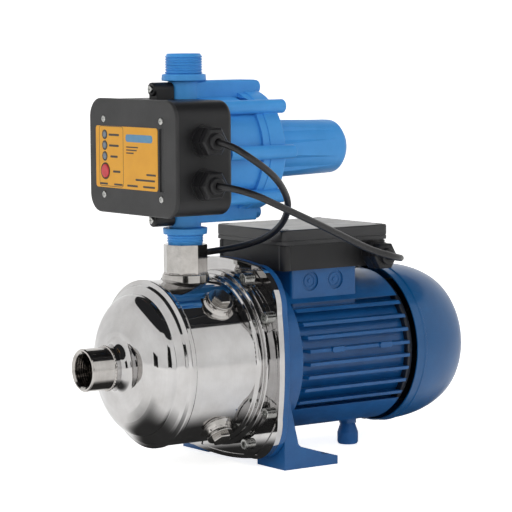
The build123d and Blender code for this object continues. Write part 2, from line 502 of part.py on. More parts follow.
def cable_gland(x, y_seat, z, across, reach, wall, lock_r=10.5, lead_r=LEAD_D / 2 + 0.02):
    """Gland on a wall that faces -Y: thread and lock nut inside, hex body, domed nut."""
    plane = Plane((x, y_seat, z), x_dir=(1, 0, 0), z_dir=(0, -1, 0))
    hex_body = extrude(RegularPolygon(across / 2, 6, major_radius=False), reach * 0.42)
    nut_h = reach * 0.36
    nut = Pos(0, 0, reach * 0.46) * extrude(RegularPolygon(across / 2 - 0.4, 6, major_radius=False), nut_h)
    nut = chamfer(nut.faces().sort_by(Axis.Z)[-1].edges(), 1.4)
    waist = extrude(Circle(across / 2 - 1.4), reach * 0.5)
    nose = Pos(0, 0, reach * 0.5) * extrude(Circle(7.4), reach * 0.5)
    nose = fillet(nose.faces().sort_by(Axis.Z)[-1].edges(), 1.6)
    thread = extrude(Circle(8.0), -wall - 3.6)
    lock = Pos(0, 0, -wall - 3.1) * extrude(RegularPolygon(lock_r, 6, major_radius=False), 3.0)
    shape = hex_body + nut + waist + nose + thread + lock - Pos(0, 0, -20.0) * extrude(Circle(lead_r), reach + 30)
    return plane * shape


save(cable_gland(BOX_GLAND_X, -BOX_HALF_Y - 2.5, BOX_GLAND_Z, 23.0, 23.0, 7.1, 8.7), "terminal_gland")

# ---------------------------------------------------------------- controller valve body
PIPE_TOP, PIPE_BOTTOM = 365.3, 183.0
PISTON_R = 10.0
SEAM_X, BAND_END, BOSS_END = -39.4, -22.8, -15.7
boss_ring = [polar(45 * k, 56.0, CTRL_Z) for k in range(8)]

thread_up = [(347.0 + s, r) for s, r in grooved(17.4, THREAD_R, 15.5, 2.309, 0.8)]
thread_dn = [(206.4 - s, r) for s, r in grooved(8.6, 16.1, 15.5, 2.309, 0.8)] + [(TOP_Z + 0.2, 15.1)]
pipe = [(PIPE_BOTTOM, 0.0), (PIPE_BOTTOM, 15.1)] + thread_dn[::-1]
pipe += [(206.4, 19.4, 0.6), (211.8, 19.8, 0.8), (212.6, 14.2, 0.6), (340.8, 14.0, 0.6), (341.6, 19.8, 0.8),
         (347.0, 19.4, 0.6)] + thread_up + [(PIPE_TOP, 14.6), (PIPE_TOP, 0.0)]
valve = turned_z(pipe, PIPE_X)
valve += rod(-96.0, -89.0, 43.0, 0, CTRL_Z) + rod(-89.5, SEAM_X, 50.0, 0, CTRL_Z)
valve += fillet(block(-109.0, -92.0, -61.0, 61.0, 232.0, 320.0).edges().filter_by(Axis.X), 12.0)
valve += rod(SEAM_X - 7.0, SEAM_X, 53.0, 0, CTRL_Z)
for y, z in boss_ring:
    valve += rod(-86.0, SEAM_X, 6.2, y, z)
for z0, z1 in ((318.0, 341.4), (215.9, 239.0)):
    valve += fillet(block(-89.6, SEAM_X, -13.0, 13.0, z0, z1).edges().filter_by(Axis.X), 2.5)
for side in (-1, 1):
    slot = Pos(-47.0, side * 24.0, 324.0) * Rot(0, 38, 0) * Box(20.0, 24.0, 3.0)
    valve -= slot & block(-62.0, SEAM_X - 2.0, min(side * 12.9, side * 40), max(side * 12.9, side * 40), 318, 332)
valve -= post(PIPE_BOTTOM - 1, PIPE_TOP + 1, 12.4, PIPE_X, 0) - post(250.0, 262.0, 15.0, PIPE_X, 0)
valve -= post(240.0, 265.0, PISTON_R - 1.6, PIPE_X, 0)
for k in range(4):
    rib = Pos(PIPE_X, 0, 281.0) * Rot(0, 0, 45 + 90 * k) * Pos(11.6, 0, 0) * Box(3.0, 2.0, 38.0)
    valve += rib - post(250, 310, PISTON_R + 0.06, PIPE_X, 0)
valve -= rod(-76.0, SEAM_X + 1, 42.0, 0, CTRL_Z)
valve -= rod(-96.0, -75.0, 9.0, 0, CTRL_Z + 34.0) & block(-100, -70, -20, 20, 300, 330)
for y, z in boss_ring:
    valve -= rod(-72.0, SEAM_X + 1, 2.0, y, z)
save(valve, "valve_body")

rear_cap = turned([(SEAM_X, 44.0), (SEAM_X, 54.0, 0.8), (BAND_END, 54.0, 1.6), (BAND_END, 28.0, 3.0),
                   (66.0, 24.2, 6.0), (71.0, 19.0, 2.0), (71.0, 0.0), (68.2, 0.0), (68.2, 19.0), (62.0, 21.4),
                   (-26.0, 24.6), (-26.0, 41.0), (SEAM_X + 3.0, 44.0)], CTRL_Z)
for y, z in boss_ring:
    tip = rod(SEAM_X, BOSS_END, 6.2, y, z)
    rear_cap += fillet(tip.faces().sort_by(Axis.X)[-1].edges(), 1.6)
for z0, z1 in ((318.0, 341.4), (215.9, 239.0)):
    rear_cap += fillet(block(SEAM_X, -26.4, -13.0, 13.0, z0, z1).edges().filter_by(Axis.X), 2.5) - rod(
        -60, -20, 44.0, 0, CTRL_Z)
for k in range(6):
    y, z = polar(30 + 60 * k, 43.6, CTRL_Z)
    flute = Plane((-8.0, y, z), x_dir=(0, 1, 0), z_dir=(1, 0, 0)) * extrude(Circle(20.0), 90.0)
    rear_cap -= flute - rod(-20, 100, 24.6, 0, CTRL_Z)
for y, z in boss_ring:
    rear_cap -= rod(-60, 0, 2.3, y, z)
    rear_cap -= rod(BOSS_END - 6.0, 0, 4.1, y, z)
save(rear_cap, "valve_cap")
cap_screws = []
for y, z in boss_ring:
    seat = Plane((BOSS_END - 6.0, y, z), x_dir=(0, 1, 0), z_dir=(1, 0, 0))
    cap_screws.append(pan_screw(seat, 3.8, 2.6, 1.96, 42.0))
save(Compound(children=cap_screws), "valve_cap_screws")
diaphragm = turned([(SEAM_X - 2.6, 0.0), (SEAM_X - 2.6, 30.0), (SEAM_X - 5.0, 36.0, 2.0), (SEAM_X - 2.0, 41.9),
                    (SEAM_X - 0.1, 41.9), (SEAM_X - 3.0, 36.0, 1.5), (SEAM_X - 0.6, 30.0), (SEAM_X + 1.6, 20.0),
                    (SEAM_X + 1.6, 0.0)], CTRL_Z)
save(diaphragm, "diaphragm")
coil_path = Helix(pitch=9.5, height=94.0, radius=15.0, center=(0, 0, 0), direction=(0, 0, 1))
coil = sweep(Plane(origin=coil_path @ 0, z_dir=coil_path % 0) * Circle(1.3), path=coil_path)
save(Plane((SEAM_X + 3.2, 0, CTRL_Z), x_dir=(0, 1, 0), z_dir=(1, 0, 0)) * coil, "diaphragm_spring")
piston = turned_z([(262.1, 0.0), (262.1, 8.2), (263.0, PISTON_R), (282.0, PISTON_R), (284.0, 8.2), (284.0, 5.0),
                   (270.0, 5.0), (270.0, 0.0)], PIPE_X)
save(piston, "flow_piston")

# ---------------------------------------------------------------- controller electronics
CORNER = 15.0


def slab(x0, x1, shrink=0.0, corner=CORNER):
    solid = block(x0, x1, -HOUSE_Y + shrink, HOUSE_Y - shrink, HOUSE_Z0 + shrink, HOUSE_Z1 - shrink)
    return fillet(solid.edges().filter_by(Axis.X), max(corner - shrink, 1.0))


house = slab(HOUSE_X0, HOUSE_X1)
house = fillet(house.faces().sort_by(Axis.X)[-1].outer_wire().edges(), 5.0)
house -= slab(HOUSE_X0 - 1, -113.0, 3.0)
house -= slab(-110.4, HOUSE_X1 + 1, 3.0)
for z, lift in ((334.4, 1), (219.9, -1)):
    lug = rod(-129.2, -109.0, 6.0, 0, z)
    lug = fillet(lug.faces().sort_by(Axis.X)[0].edges(), 1.0)
    z0, z1 = sorted((z, z - lift * 10.0))
    lug += block(-127.0, -109.0, -6.0, 6.0, z0, z1) - slab(HOUSE_X0, HOUSE_X1, 2.0)
    lug -= rod(-140, -106, 1.62, 0, z)
    house += lug
house -= post(200, 360, 14.3, PIPE_X, 0)
for z in (GLAND_ZU, GLAND_ZL):
    house += rod_y(-HOUSE_Y - 1.6, -HOUSE_Y + 3.0, 14.0, GLAND_X, z)
    house -= rod_y(-HOUSE_Y - 5, -HOUSE_Y + 6, 8.05, GLAND_X, z)
    house -= rod_y(-HOUSE_Y + 3.1, -HOUSE_Y + 7.6, 12.7, GLAND_X, z)
for y in (-46.2, 46.2):
    for z in (241.3, 308.2):
        house += rod(-144.4, -112.0, 4.2, y, z)
        house -= rod(-150, -130.0, 1.62, y, z)
save(house, "electronics_housing")

PLATE_X = -149.4
plate = block(PLATE_X, HOUSE_X0, -HOUSE_Y - 1.0, HOUSE_Y + 1.0, HOUSE_Z0 - 1.0, HOUSE_Z1 + 1.0)
plate = fillet(plate.edges().filter_by(Axis.X), 17.0)
plate = fillet(plate.faces().sort_by(Axis.X)[0].outer_wire().edges(), 1.4)
LABEL_Y0, LABEL_Y1, LABEL_Z0, LABEL_Z1 = -41.3, 58.8, 247.8, 302.2
BUTTON_Y, BUTTON_Z, BUTTON_R = 43.2, 262.3, 6.0
LENS_Z = (294.5, 285.0, 275.4)
pocket = block(PLATE_X - 1, PLATE_X + 1.2, -52.0, -43.6, LABEL_Z0, LABEL_Z1)
plate -= fillet(pocket.edges().filter_by(Axis.X), 1.5)
label = fillet(block(PLATE_X - 0.4, PLATE_X, LABEL_Y0, LABEL_Y1, LABEL_Z0, LABEL_Z1).edges().filter_by(Axis.X), 3.0)
plate -= rod(PLATE_X - 2, HOUSE_X0 + 1, BUTTON_R + 0.08, BUTTON_Y, BUTTON_Z)
label -= rod(PLATE_X - 2, HOUSE_X0 + 1, BUTTON_R + 0.5, BUTTON_Y, BUTTON_Z)
lenses = []
for z in LENS_Z:
    plate -= rod(PLATE_X - 2, HOUSE_X0 + 1, 3.0, 44.0, z)
    label -= rod(PLATE_X - 2, HOUSE_X0 + 1, 3.0, 44.0, z)
    lens = rod(PLATE_X - 1.0, HOUSE_X0, 3.0, 44.0, z)
    lenses.append(fillet(lens.faces().sort_by(Axis.X)[0].edges(), 0.8))
plate_screws = []
for y in (-46.2, 46.2):
    for z in (241.3, 308.2):
        plate -= rod(PLATE_X - 2, HOUSE_X0 + 1, 1.9, y, z)
        plate -= rod(PLATE_X - 2, PLATE_X + 1.0, 3.4, y, z)
        seat = Plane((PLATE_X + 1.0, y, z), x_dir=(0, 1, 0), z_dir=(-1, 0, 0))
        plate_screws.append(pan_screw(seat, 3.0, 1.6, 1.6, 13.0))
save(plate, "front_plate")
save(label, "label")
save(Compound(children=plate_screws), "plate_screws")
save(Compound(children=lenses), "indicator_lenses")
button = rod(PLATE_X - 1.6, HOUSE_X0 - 0.4, BUTTON_R, BUTTON_Y, BUTTON_Z)
button = fillet(button.faces().sort_by(Axis.X)[0].edges(), 1.2)
button += rod(HOUSE_X0 - 0.5, -138.6, 2.6, BUTTON_Y, BUTTON_Z)
save(button, "restart_button")
lug_screws = []
for z in (334.4, 219.9):
    seat = Plane((-129.2, 0, z), x_dir=(0, 1, 0), z_dir=(-1, 0, 0))
    lug_screws.append(pan_screw(seat, 3.2, 1.8, 1.6, 17.0))
save(Compound(children=lug_screws), "lug_screws")
board = block(-134.6, -133.0, -58.0, 38.0, 234.0, 318.0)
for y in (-46.2,):
    for z in (241.3, 308.2):
        board -= rod(-140, -120, 4.6, y, z)
board += block(-133.1, -118.0, -28.0, -4.0, 262.0, 288.0)
board += block(-133.1, -121.0, 6.0, 22.0, 268.0, 296.0)
board += block(-136.2, -134.5, 40.0, 46.4, 259.0, 265.6) + block(-134.6, -133.0, 37.9, 50.0, 250.0, 304.0)
board += rod(-133.1, -116.0, 7.0, -40.0, 275.0)
board += block(-140.0, -134.5, 20.0, 34.0, 240.0, 250.0)
save(board, "circuit_board")
glands = [cable_gland(GLAND_X, -HOUSE_Y - 1.6, z, 23.5, 19.4, 4.7) for z in (GLAND_ZU, GLAND_ZL)]
save(Compound(children=glands), "controller_glands")


# ---------------------------------------------------------------- leads
def bend_radii(points):
    radii = []
    for a, b, c in zip(points, points[1:], points[2:]):
        u, v = (Vector(*b) - Vector(*a)), (Vector(*c) - Vector(*b))
        turn = radians(u.get_angle(v))
        radii.append(0.45 * min(u.length, v.length) / tan(turn / 2))
    return radii


def lead(points, name):
    radii = bend_radii(points)
    print(name, "bend radii", [round(r, 1) for r in radii])
    path = FilletPolyline(*points, radius=radii)
    solid = sweep(Plane(origin=path @ 0, z_dir=path % 0) * Circle(LEAD_D / 2), path=path)
    ratio = solid.volume / (pi * LEAD_D ** 2 / 4 * path.length)
    print(name, "length", round(path.length, 1), "volume over section x length", round(ratio, 4))
    return solid


motor_route = [
    (GLAND_X, -68.0, GLAND_ZL), (GLAND_X, -101.5, GLAND_ZL), (-105.0, -121.0, 248.0), (-80.0, -122.5, 236.8),
    (-52.0, -120.0, 225.6), (-24.0, -116.5, 214.2), (4.0, -114.5, 201.8), (28.0, -114.0, 191.6),
    (54.0, -116.0, 184.4), (BOX_GLAND_X, -96.0, BOX_GLAND_Z), (BOX_GLAND_X, -66.0, BOX_GLAND_Z)]
save(lead(motor_route, "motor_lead"), "motor_lead")
supply_route = [
    (GLAND_X, -68.0, GLAND_ZU), (GLAND_X, -101.5, GLAND_ZU), (-104.5, -119.0, 277.2), (-82.0, -118.0, 262.6),
    (-61.0, -105.0, 247.0), (-45.0, -88.0, 232.6), (-36.5, -68.0, 217.0), (-34.5, -45.0, 204.2),
    (-38.0, -21.0, 195.6), (-47.5, -1.0, 190.2), (-62.0, 18.0, 186.6), (-66.0, 42.0, 181.0),
    (-66.0, 68.0, 168.0), (-65.0, 90.0, 148.0), (-64.0, 101.0, 118.0), (-63.0, 103.0, 84.0),
    (-62.0, 101.0, 54.0), (-61.0, 102.0, 30.0), (-52.0, 103.5, 12.8), (-36.0, 102.4, 3.2), (-20.6, 100.2, 3.1)]
COIL_X, COIL_Y, COIL_R = 3.0, 135.0, 33.0
PLUG_AT = Vector(96.0, 119.5, 18.7)
PLUG_DIR = Vector(0.95, 0.31, 0.0).normalized()
tail_route = [
    (27.2, 100.2, 7.6), (44.0, 102.0, 3.6), (62.0, 107.5, 4.8), (79.0, 113.5, 12.4), tuple(PLUG_AT)]
save(Compound(children=[lead(supply_route, "supply_lead"), lead(tail_route, "supply_tail")]), "supply_lead")
coil_ring = turned_z([(0.1, COIL_R - 6.0, 2.8), (0.1, COIL_R + 6.0, 2.8), (12.4, COIL_R + 6.0, 2.8),
                      (12.4, COIL_R - 6.0, 2.8)], COIL_X, COIL_Y)
save(coil_ring, "supply_coil")

# ---------------------------------------------------------------- supply plug
plug_plane = Plane(origin=PLUG_AT, z_dir=PLUG_DIR)
grip = revolve(make_face(Polyline((0, 0), (4.4, 0), (5.4, 22.0), (8.0, 30.0), (14.0, 35.0), (16.4, 52.0), (18.5, 56.0),
                                  (18.5, 70.0), (0, 70.0), close=True)), Axis.Y)
grip = Rot(90, 0, 0) * grip
for s in (4.0, 9.0, 14.0, 19.0):
    grip -= Pos(0, 0, s) * extrude(Circle(8) - Circle(3.9), 2.0)
for x in (-9.5, 9.5):
    pin = Pos(x, 0, 69.5) * extrude(Circle(2.4), 19.5)
    grip += fillet(pin.faces().sort_by(Axis.Z)[-1].edges(), 1.2)
save(plug_plane * grip, "supply_plug")
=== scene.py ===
"""Looks of a shallow well jet pump with a flow controller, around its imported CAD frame."""

import logging
import math
from dataclasses import dataclass
from enum import Enum
from typing import Optional

import bpy
from mathutils import Matrix, Quaternion, Vector


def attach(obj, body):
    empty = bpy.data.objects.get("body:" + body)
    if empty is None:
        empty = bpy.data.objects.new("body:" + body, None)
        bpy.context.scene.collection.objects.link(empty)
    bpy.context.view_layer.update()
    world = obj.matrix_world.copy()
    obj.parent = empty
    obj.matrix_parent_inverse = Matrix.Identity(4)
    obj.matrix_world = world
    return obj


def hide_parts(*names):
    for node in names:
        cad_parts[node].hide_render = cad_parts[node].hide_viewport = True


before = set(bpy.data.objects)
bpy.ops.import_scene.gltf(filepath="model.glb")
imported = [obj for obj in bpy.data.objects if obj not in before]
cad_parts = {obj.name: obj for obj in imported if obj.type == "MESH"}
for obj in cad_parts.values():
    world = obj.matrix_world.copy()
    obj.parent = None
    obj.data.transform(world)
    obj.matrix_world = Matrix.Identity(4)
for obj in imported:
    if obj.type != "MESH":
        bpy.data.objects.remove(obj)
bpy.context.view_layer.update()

log = logging.getLogger("jet_pump")
MM = 0.001
SHAFT_HEIGHT = 93.4 * MM
PIPE_X = -94.6 * MM
Point = tuple[float, float, float]


# ------------------------------------------------------------------ small tools
def linear_colour(code: str) -> tuple[float, float, float, float]:
    """Turn an sRGB hex colour into linear values.

    Args:
        code: six hex digits, with or without a leading #.

    Returns:
        Linear red, green, blue and an alpha of one.
    """
    code = code.lstrip("#")
    parts = [int(code[i:i + 2], 16) / 255 for i in (0, 2, 4)]
    red, green, blue = (p / 12.92 if p <= 0.04045 else ((p + 0.055) / 1.055) ** 2.4 for p in parts)
    return red, green, blue, 1.0


def add_node(tree: bpy.types.NodeTree, kind: str, settings: Optional[dict] = None,
             inputs: Optional[dict] = None) -> bpy.types.Node:
    """Add one node with its settings and links.

    Args:
        tree: the node tree to add to.
        kind: the node's type name.
        settings: attribute names and values of the node.
        inputs: socket names or numbers, each with a value or a socket to link from.

    Returns:
        The new node.
    """
    made = tree.nodes.new(kind)
    for name, value in (settings or {}).items():
        setattr(made, name, value)
    for name, value in (inputs or {}).items():
        if isinstance(value, bpy.types.NodeSocket):
            tree.links.new(value, made.inputs[name])
        else:
            made.inputs[name].default_value = value
    return made


def turned_frame(at: Point, axis: Point) -> Matrix:
    """Matrix that puts local +Z along an axis.

    Args:
        at: where the local origin goes, in metres.
        axis: the direction that local +Z takes.

    Returns:
        The placing matrix.
    """
    return Matrix.Translation(Vector(at)) @ Vector(axis).to_track_quat("Z", "Y").to_matrix().to_4x4()


def lathe(name: str, profile: list[tuple[float, float]], place: Matrix, segments: int = 72,
          ripple: Optional[tuple[int, float]] = None) -> bpy.types.Mesh:
    """Revolve a closed outline of (radius, height) points about local Z.

    Args:
        name: name of the mesh.
        profile: outline points in millimetres; radius zero closes on the axis.
        place: matrix that sets the result in the row frame.
        segments: steps round the axis.
        ripple: waves round the axis and their height in millimetres.

    Returns:
        The mesh, smooth with sharp creases.
    """
    points, faces = [], []
    count = len(profile)
    middle = sum(r for r, _ in profile) / count
    for s in range(segments):
        turn = 2 * math.pi * s / segments
        for radius, height in profile:
            swell = ripple[1] * math.cos(ripple[0] * turn) * (1 if radius > middle else 0) if ripple else 0.0
            r = (radius + swell) * MM
            points.append(place @ Vector((r * math.cos(turn), r * math.sin(turn), height * MM)))
    for s in range(segments):
        a, b = s * count, (s + 1) % segments * count
        for i in range(count):
            j = (i + 1) % count
            faces.append((a + i, b + i, b + j, a + j))
    return finish_mesh(name, points, faces)


def finish_mesh(name: str, points: list, faces: list, crease: float = 32.0) -> bpy.types.Mesh:
    """Make a clean, outward-facing mesh.

    Args:
        name: name of the mesh.
        points: vertex positions in metres.
        faces: vertex numbers of each face.
        crease: edges sharper than this angle, in degrees, stay sharp.

    Returns:
        The mesh.
    """
    import bmesh

    mesh = bpy.data.meshes.new(name)
    mesh.from_pydata([tuple(p) for p in points], [], faces)
    work = bmesh.new()
    work.from_mesh(mesh)
    bmesh.ops.remove_doubles(work, verts=work.verts, dist=1e-6)
    bmesh.ops.dissolve_degenerate(work, edges=work.edges, dist=1e-7)
    bmesh.ops.recalc_face_normals(work, faces=work.faces)
    work.to_mesh(mesh)
    work.free()
    mesh.shade_smooth()
    mesh.set_sharp_from_angle(angle=math.radians(crease))
    return mesh


def rounded_box(half_w: float, half_h: float, radius: float, steps: int = 6) -> list[tuple[float, float]]:
    """Outline of a rectangle with round corners.

    Args:
        half_w: half its width.
        half_h: half its height.
        radius: corner radius.
        steps: points per corner, less one.

    Returns:
        Points anticlockwise, in the units given.
    """
    outline = []
    for quarter, (sx, sy) in enumerate(((1, 1), (-1, 1), (-1, -1), (1, -1))):
        cx, cy = sx * (half_w - radius), sy * (half_h - radius)
        for i in range(steps + 1):
            turn = math.pi / 2 * (quarter + i / steps)
            outline.append((cx + radius * math.cos(turn), cy + radius * math.sin(turn)))
    return outline


def thin_print(name: str, outer: list[tuple[float, float]], inner: Optional[list[tuple[float, float]]],
               place: Matrix, thickness: float) -> bpy.types.Mesh:
    """Thin closed layer from an outline, with an opening if an inner outline is given.

    Args:
        name: name of the mesh.
        outer: outline points in millimetres.
        inner: as many points as outer, or None for a filled shape.
        place: matrix whose local Z is the layer's thickness.
        thickness: millimetres.

    Returns:
        The mesh.
    """
    rings = [outer, inner] if inner else [outer]
    n = len(outer)
    points = [place @ Vector((x * MM, y * MM, z * MM))
              for ring in rings for z in (0.0, thickness) for x, y in ring]
    faces = []
    for r in range(len(rings)):
        for i in range(n):
            j = (i + 1) % n
            faces.append((2 * r * n + i, 2 * r * n + j, (2 * r + 1) * n + j, (2 * r + 1) * n + i))
    if inner:
        for layer in (0, 1):
            for i in range(n):
                j = (i + 1) % n
                faces.append((layer * n + i, layer * n + j, (2 + layer) * n + j, (2 + layer) * n + i))
    else:
        faces += [tuple(range(n)), tuple(range(n, 2 * n))]
    return finish_mesh(name, points, faces)


# ------------------------------------------------------------------ finishes
class Lay(Enum):
    """Direction in which the surface was worked."""

    EVEN = "cast or moulded, the same every way"
    ROUND_SHAFT = "turned or polished round the shaft"
    ROUND_PIPE = "turned round the vertical pipe"


@dataclass(frozen=True)
class Finish:
    """A real material and how its surface was made; sizes are millimetres."""

    name: str
    slot: str
    colour: str
    shade: str
    roughness: float
    spread: float = 0.06
    metallic: float = 0.0
    ior: float = 1.5
    coat: float = 0.0
    coat_roughness: float = 0.1
    grain: float = 0.8
    grain_depth: float = 0.01
    wave: float = 24.0
    wave_depth: float = 0.0
    blotch: float = 30.0
    lay: Lay = Lay.EVEN
    edge: float = 0.0

    def _lay_vector(self, tree: bpy.types.NodeTree, place: bpy.types.NodeSocket) -> bpy.types.NodeSocket:
        """Coordinates for the grain, stretched along the working direction."""
        if self.lay is Lay.EVEN:
            return place
        origin = (0, 0, SHAFT_HEIGHT) if self.lay is Lay.ROUND_SHAFT else (PIPE_X, 0, 0)
        moved = add_node(tree, "ShaderNodeVectorMath", {"operation": "SUBTRACT"}, {0: place, 1: origin})
        parts = add_node(tree, "ShaderNodeSeparateXYZ", inputs={0: moved.outputs[0]})
        along, across = ("X", "Z") if self.lay is Lay.ROUND_SHAFT else ("Z", "X")
        flat = add_node(tree, "ShaderNodeCombineXYZ", inputs={
            "X": parts.outputs["Y"], "Y": parts.outputs[across]})
        radius = add_node(tree, "ShaderNodeVectorMath", {"operation": "LENGTH"}, {0: flat.outputs[0]})
        return add_node(tree, "ShaderNodeCombineXYZ",
                        inputs={"X": parts.outputs[along], "Y": radius.outputs["Value"]}).outputs[0]

    def material(self) -> bpy.types.Material:
        """Build the procedural material.

        Returns:
            A material with mottled colour, uneven gloss and real grain size.
        """
        known = bpy.data.materials.get(self.name)
        if known:
            return known
        made = bpy.data.materials.new(self.name)
        made.use_nodes = True
        tree = made.node_tree
        tree.nodes.clear()
        place = add_node(tree, "ShaderNodeTexCoord").outputs["Object"]
        blotch = add_node(tree, "ShaderNodeTexNoise", inputs={
            "Vector": place, "Scale": 1 / (self.blotch * MM), "Detail": 4.0, "Roughness": 0.6})
        grain = add_node(tree, "ShaderNodeTexNoise", inputs={
            "Vector": self._lay_vector(tree, place), "Scale": 1 / (self.grain * MM), "Detail": 3.0,
            "Roughness": 0.55})
        both = add_node(tree, "ShaderNodeMath", {"operation": "MULTIPLY_ADD", "use_clamp": True},
                        {0: grain.outputs["Fac"], 1: 0.35, 2: blotch.outputs["Fac"]})
        ramp = add_node(tree, "ShaderNodeMapRange", inputs={
            "Value": both.outputs[0], "From Min": 0.45, "From Max": 0.95, "To Min": 0.0, "To Max": 1.0})
        tint = add_node(tree, "ShaderNodeMix", {"data_type": "RGBA"}, {
            0: ramp.outputs[0], 6: linear_colour(self.colour), 7: linear_colour(self.shade)})
        gloss = add_node(tree, "ShaderNodeMapRange", inputs={
            "Value": both.outputs[0], "From Min": 0.45, "From Max": 0.95,
            "To Min": max(self.roughness - self.spread, 0.01), "To Max": self.roughness + self.spread})
        shader = add_node(tree, "ShaderNodeBsdfPrincipled", inputs={
            "Base Color": tint.outputs[2], "Roughness": gloss.outputs[0], "Metallic": self.metallic,
            "IOR": self.ior, "Coat Weight": self.coat, "Coat Roughness": self.coat_roughness})
        normal = None
        if self.edge:
            normal = add_node(tree, "ShaderNodeBevel", {"samples": 4}, {"Radius": self.edge * MM}).outputs[0]
        if self.wave_depth:
            wave = add_node(tree, "ShaderNodeTexNoise", inputs={
                "Vector": place, "Scale": 1 / (self.wave * MM), "Detail": 1.0, "Roughness": 0.4})
            inputs = {"Height": wave.outputs["Fac"], "Distance": self.wave_depth * MM, "Strength": 1.0}
            if normal:
                inputs["Normal"] = normal
            normal = add_node(tree, "ShaderNodeBump", inputs=inputs).outputs[0]
        inputs = {"Height": grain.outputs["Fac"], "Distance": self.grain_depth * MM, "Strength": 1.0}
        if normal:
            inputs["Normal"] = normal
        bump = add_node(tree, "ShaderNodeBump", inputs=inputs)
        tree.links.new(bump.outputs[0], shader.inputs["Normal"])
        add_node(tree, "ShaderNodeOutputMaterial", inputs={"Surface": shader.outputs[0]})
        return made


# AISI 304 sheet, deep drawn then mirror polished: sharp dark and bright reflections, and faint rings round
# the shaft.
MIRROR_STEEL = Finish("stainless_mirror_polished", "polished_sheet", "#c9c8c8", "#b6b4b3", 0.05, 0.02,
                      metallic=1.0, grain=0.55, grain_depth=0.0006, wave=19.0, wave_depth=0.016,
                      blotch=26.0, lay=Lay.ROUND_SHAFT)
# Stainless bar, turned: brighter rings of a fine feed and a softer gloss than the sheet.
TURNED_STEEL = Finish("stainless_turned", "satin_steel", "#bdbab7", "#a3a09c", 0.13, 0.05, metallic=1.0,
                      grain=0.4, grain_depth=0.002, blotch=9.0, lay=Lay.ROUND_PIPE, edge=0.3)
SOCKET_STEEL = Finish("stainless_socket_turned", "polished_sheet", "#bfbcb9", "#a8a4a0", 0.1, 0.04,
                      metallic=1.0, grain=0.45, grain_depth=0.0015, blotch=12.0, lay=Lay.ROUND_SHAFT)
# Steel screws with bright zinc: slightly uneven gloss from tumbling.
ZINC = Finish("steel_zinc_plated", "zinc_screw", "#c8c9c6", "#a9aaa8", 0.26, 0.08, metallic=1.0, grain=0.5,
              grain_depth=0.004, blotch=3.0, edge=0.2)
# Sand cast aluminium under stoved enamel: a glossy skin over slow waves, with a little orange peel.
ENAMEL = Finish("cast_aluminium_blue_enamel", "blue_enamel", "#165c9a", "#114f88", 0.36, 0.05, ior=1.4,
                coat=0.22, coat_roughness=0.12, grain=1.7, grain_depth=0.035, wave=9.0, wave_depth=0.05,
                blotch=22.0, edge=0.7)
# Drawn steel sheet under the same enamel: smoother, with longer waves.
ENAMEL_SHEET = Finish("steel_sheet_blue_enamel", "blue_enamel_sheet", "#115992", "#0e4d82", 0.32, 0.04,
                      ior=1.4, coat=0.3, coat_roughness=0.07, grain=1.3, grain_depth=0.012, wave=30.0,
                      wave_depth=0.04, blotch=40.0)
BLUE_FOOT = Finish("polyamide_blue_moulded", "blue_plastic", "#2062a4", "#1a5793", 0.45, 0.05, ior=1.42,
                   grain=0.6, grain_depth=0.012, blotch=9.0)
DARK_ENAMEL = Finish("cast_aluminium_dark_enamel", "black_enamel", "#1d2430", "#171c26", 0.42, 0.06,
                     grain=1.2, grain_depth=0.03, blotch=15.0)
# Glass-filled polyamide, moulded in a smooth tool: satin light blue with faint flow marks.
SKY_BLUE = Finish("polyamide_sky_blue_moulded", "sky_blue_plastic", "#4a9fe8", "#4294db", 0.4, 0.05,
                  ior=1.42, grain=0.7, grain_depth=0.010, wave=14.0, wave_depth=0.03, blotch=26.0, edge=0.5)
# ABS from a spark-eroded tool: fine even texture that breaks the gloss.
BLACK_PLASTIC = Finish("abs_black_textured", "black_plastic", "#1c1c1e", "#161618", 0.42, 0.05, ior=1.42,
                       grain=0.55, grain_depth=0.016, blotch=22.0, edge=0.5)
LID_PLASTIC = Finish("abs_black_satin", "black_plastic", "#1f1f22", "#18181b", 0.34, 0.05, coat=0.25,
                     grain=0.6, grain_depth=0.012, blotch=24.0, edge=0.6)
CHARCOAL = Finish("abs_charcoal_textured", "charcoal_plastic", "#323233", "#2b2b2c", 0.45, 0.05, ior=1.42,
                  grain=0.5, grain_depth=0.018, blotch=24.0, edge=0.4)
INNER_BLACK = Finish("polypropylene_black_moulded", "hydraulic_plastic", "#222224", "#1b1b1d", 0.5, 0.05,
                     grain=0.7, grain_depth=0.015, blotch=14.0)
WHITE_PLASTIC = Finish("polyamide_white_moulded", "white_plastic", "#e4e3dd", "#d9d7cf", 0.45, 0.05,
                       grain=0.6, grain_depth=0.01, blotch=10.0)
# Printed polyester film: flat gloss with a slight orange peel from lamination.
AMBER_FILM = Finish("polyester_film_amber_printed", "amber_film", "#e6a520", "#de9c1c", 0.32, 0.04,
                    ior=1.42, coat=0.1, coat_roughness=0.1, grain=0.9, grain_depth=0.004, blotch=18.0)
PRINT_BLACK = Finish("screen_ink_black", "amber_film", "#332c22", "#2a241c", 0.4, 0.05, grain=0.4,
                     grain_depth=0.003, blotch=6.0)
PRINT_BLUE = Finish("screen_ink_blue", "amber_film", "#5b8fb4", "#5086ab", 0.38, 0.05, grain=0.4,
                    grain_depth=0.003, blotch=6.0)
SMOKED_LENS = Finish("polycarbonate_smoked", "smoked_lens", "#75828f", "#5e6b79", 0.12, 0.03, ior=1.58,
                     grain=0.5, grain_depth=0.003, blotch=3.0)
RED_RUBBER = Finish("silicone_red_moulded", "red_rubber", "#cf4149", "#c2373f", 0.45, 0.05, grain=0.5,
                    grain_depth=0.012, blotch=4.0)
RUBBER = Finish("nitrile_rubber_moulded", "seal_rubber", "#202022", "#19191a", 0.55, 0.06, grain=0.5,
                grain_depth=0.012, blotch=6.0)
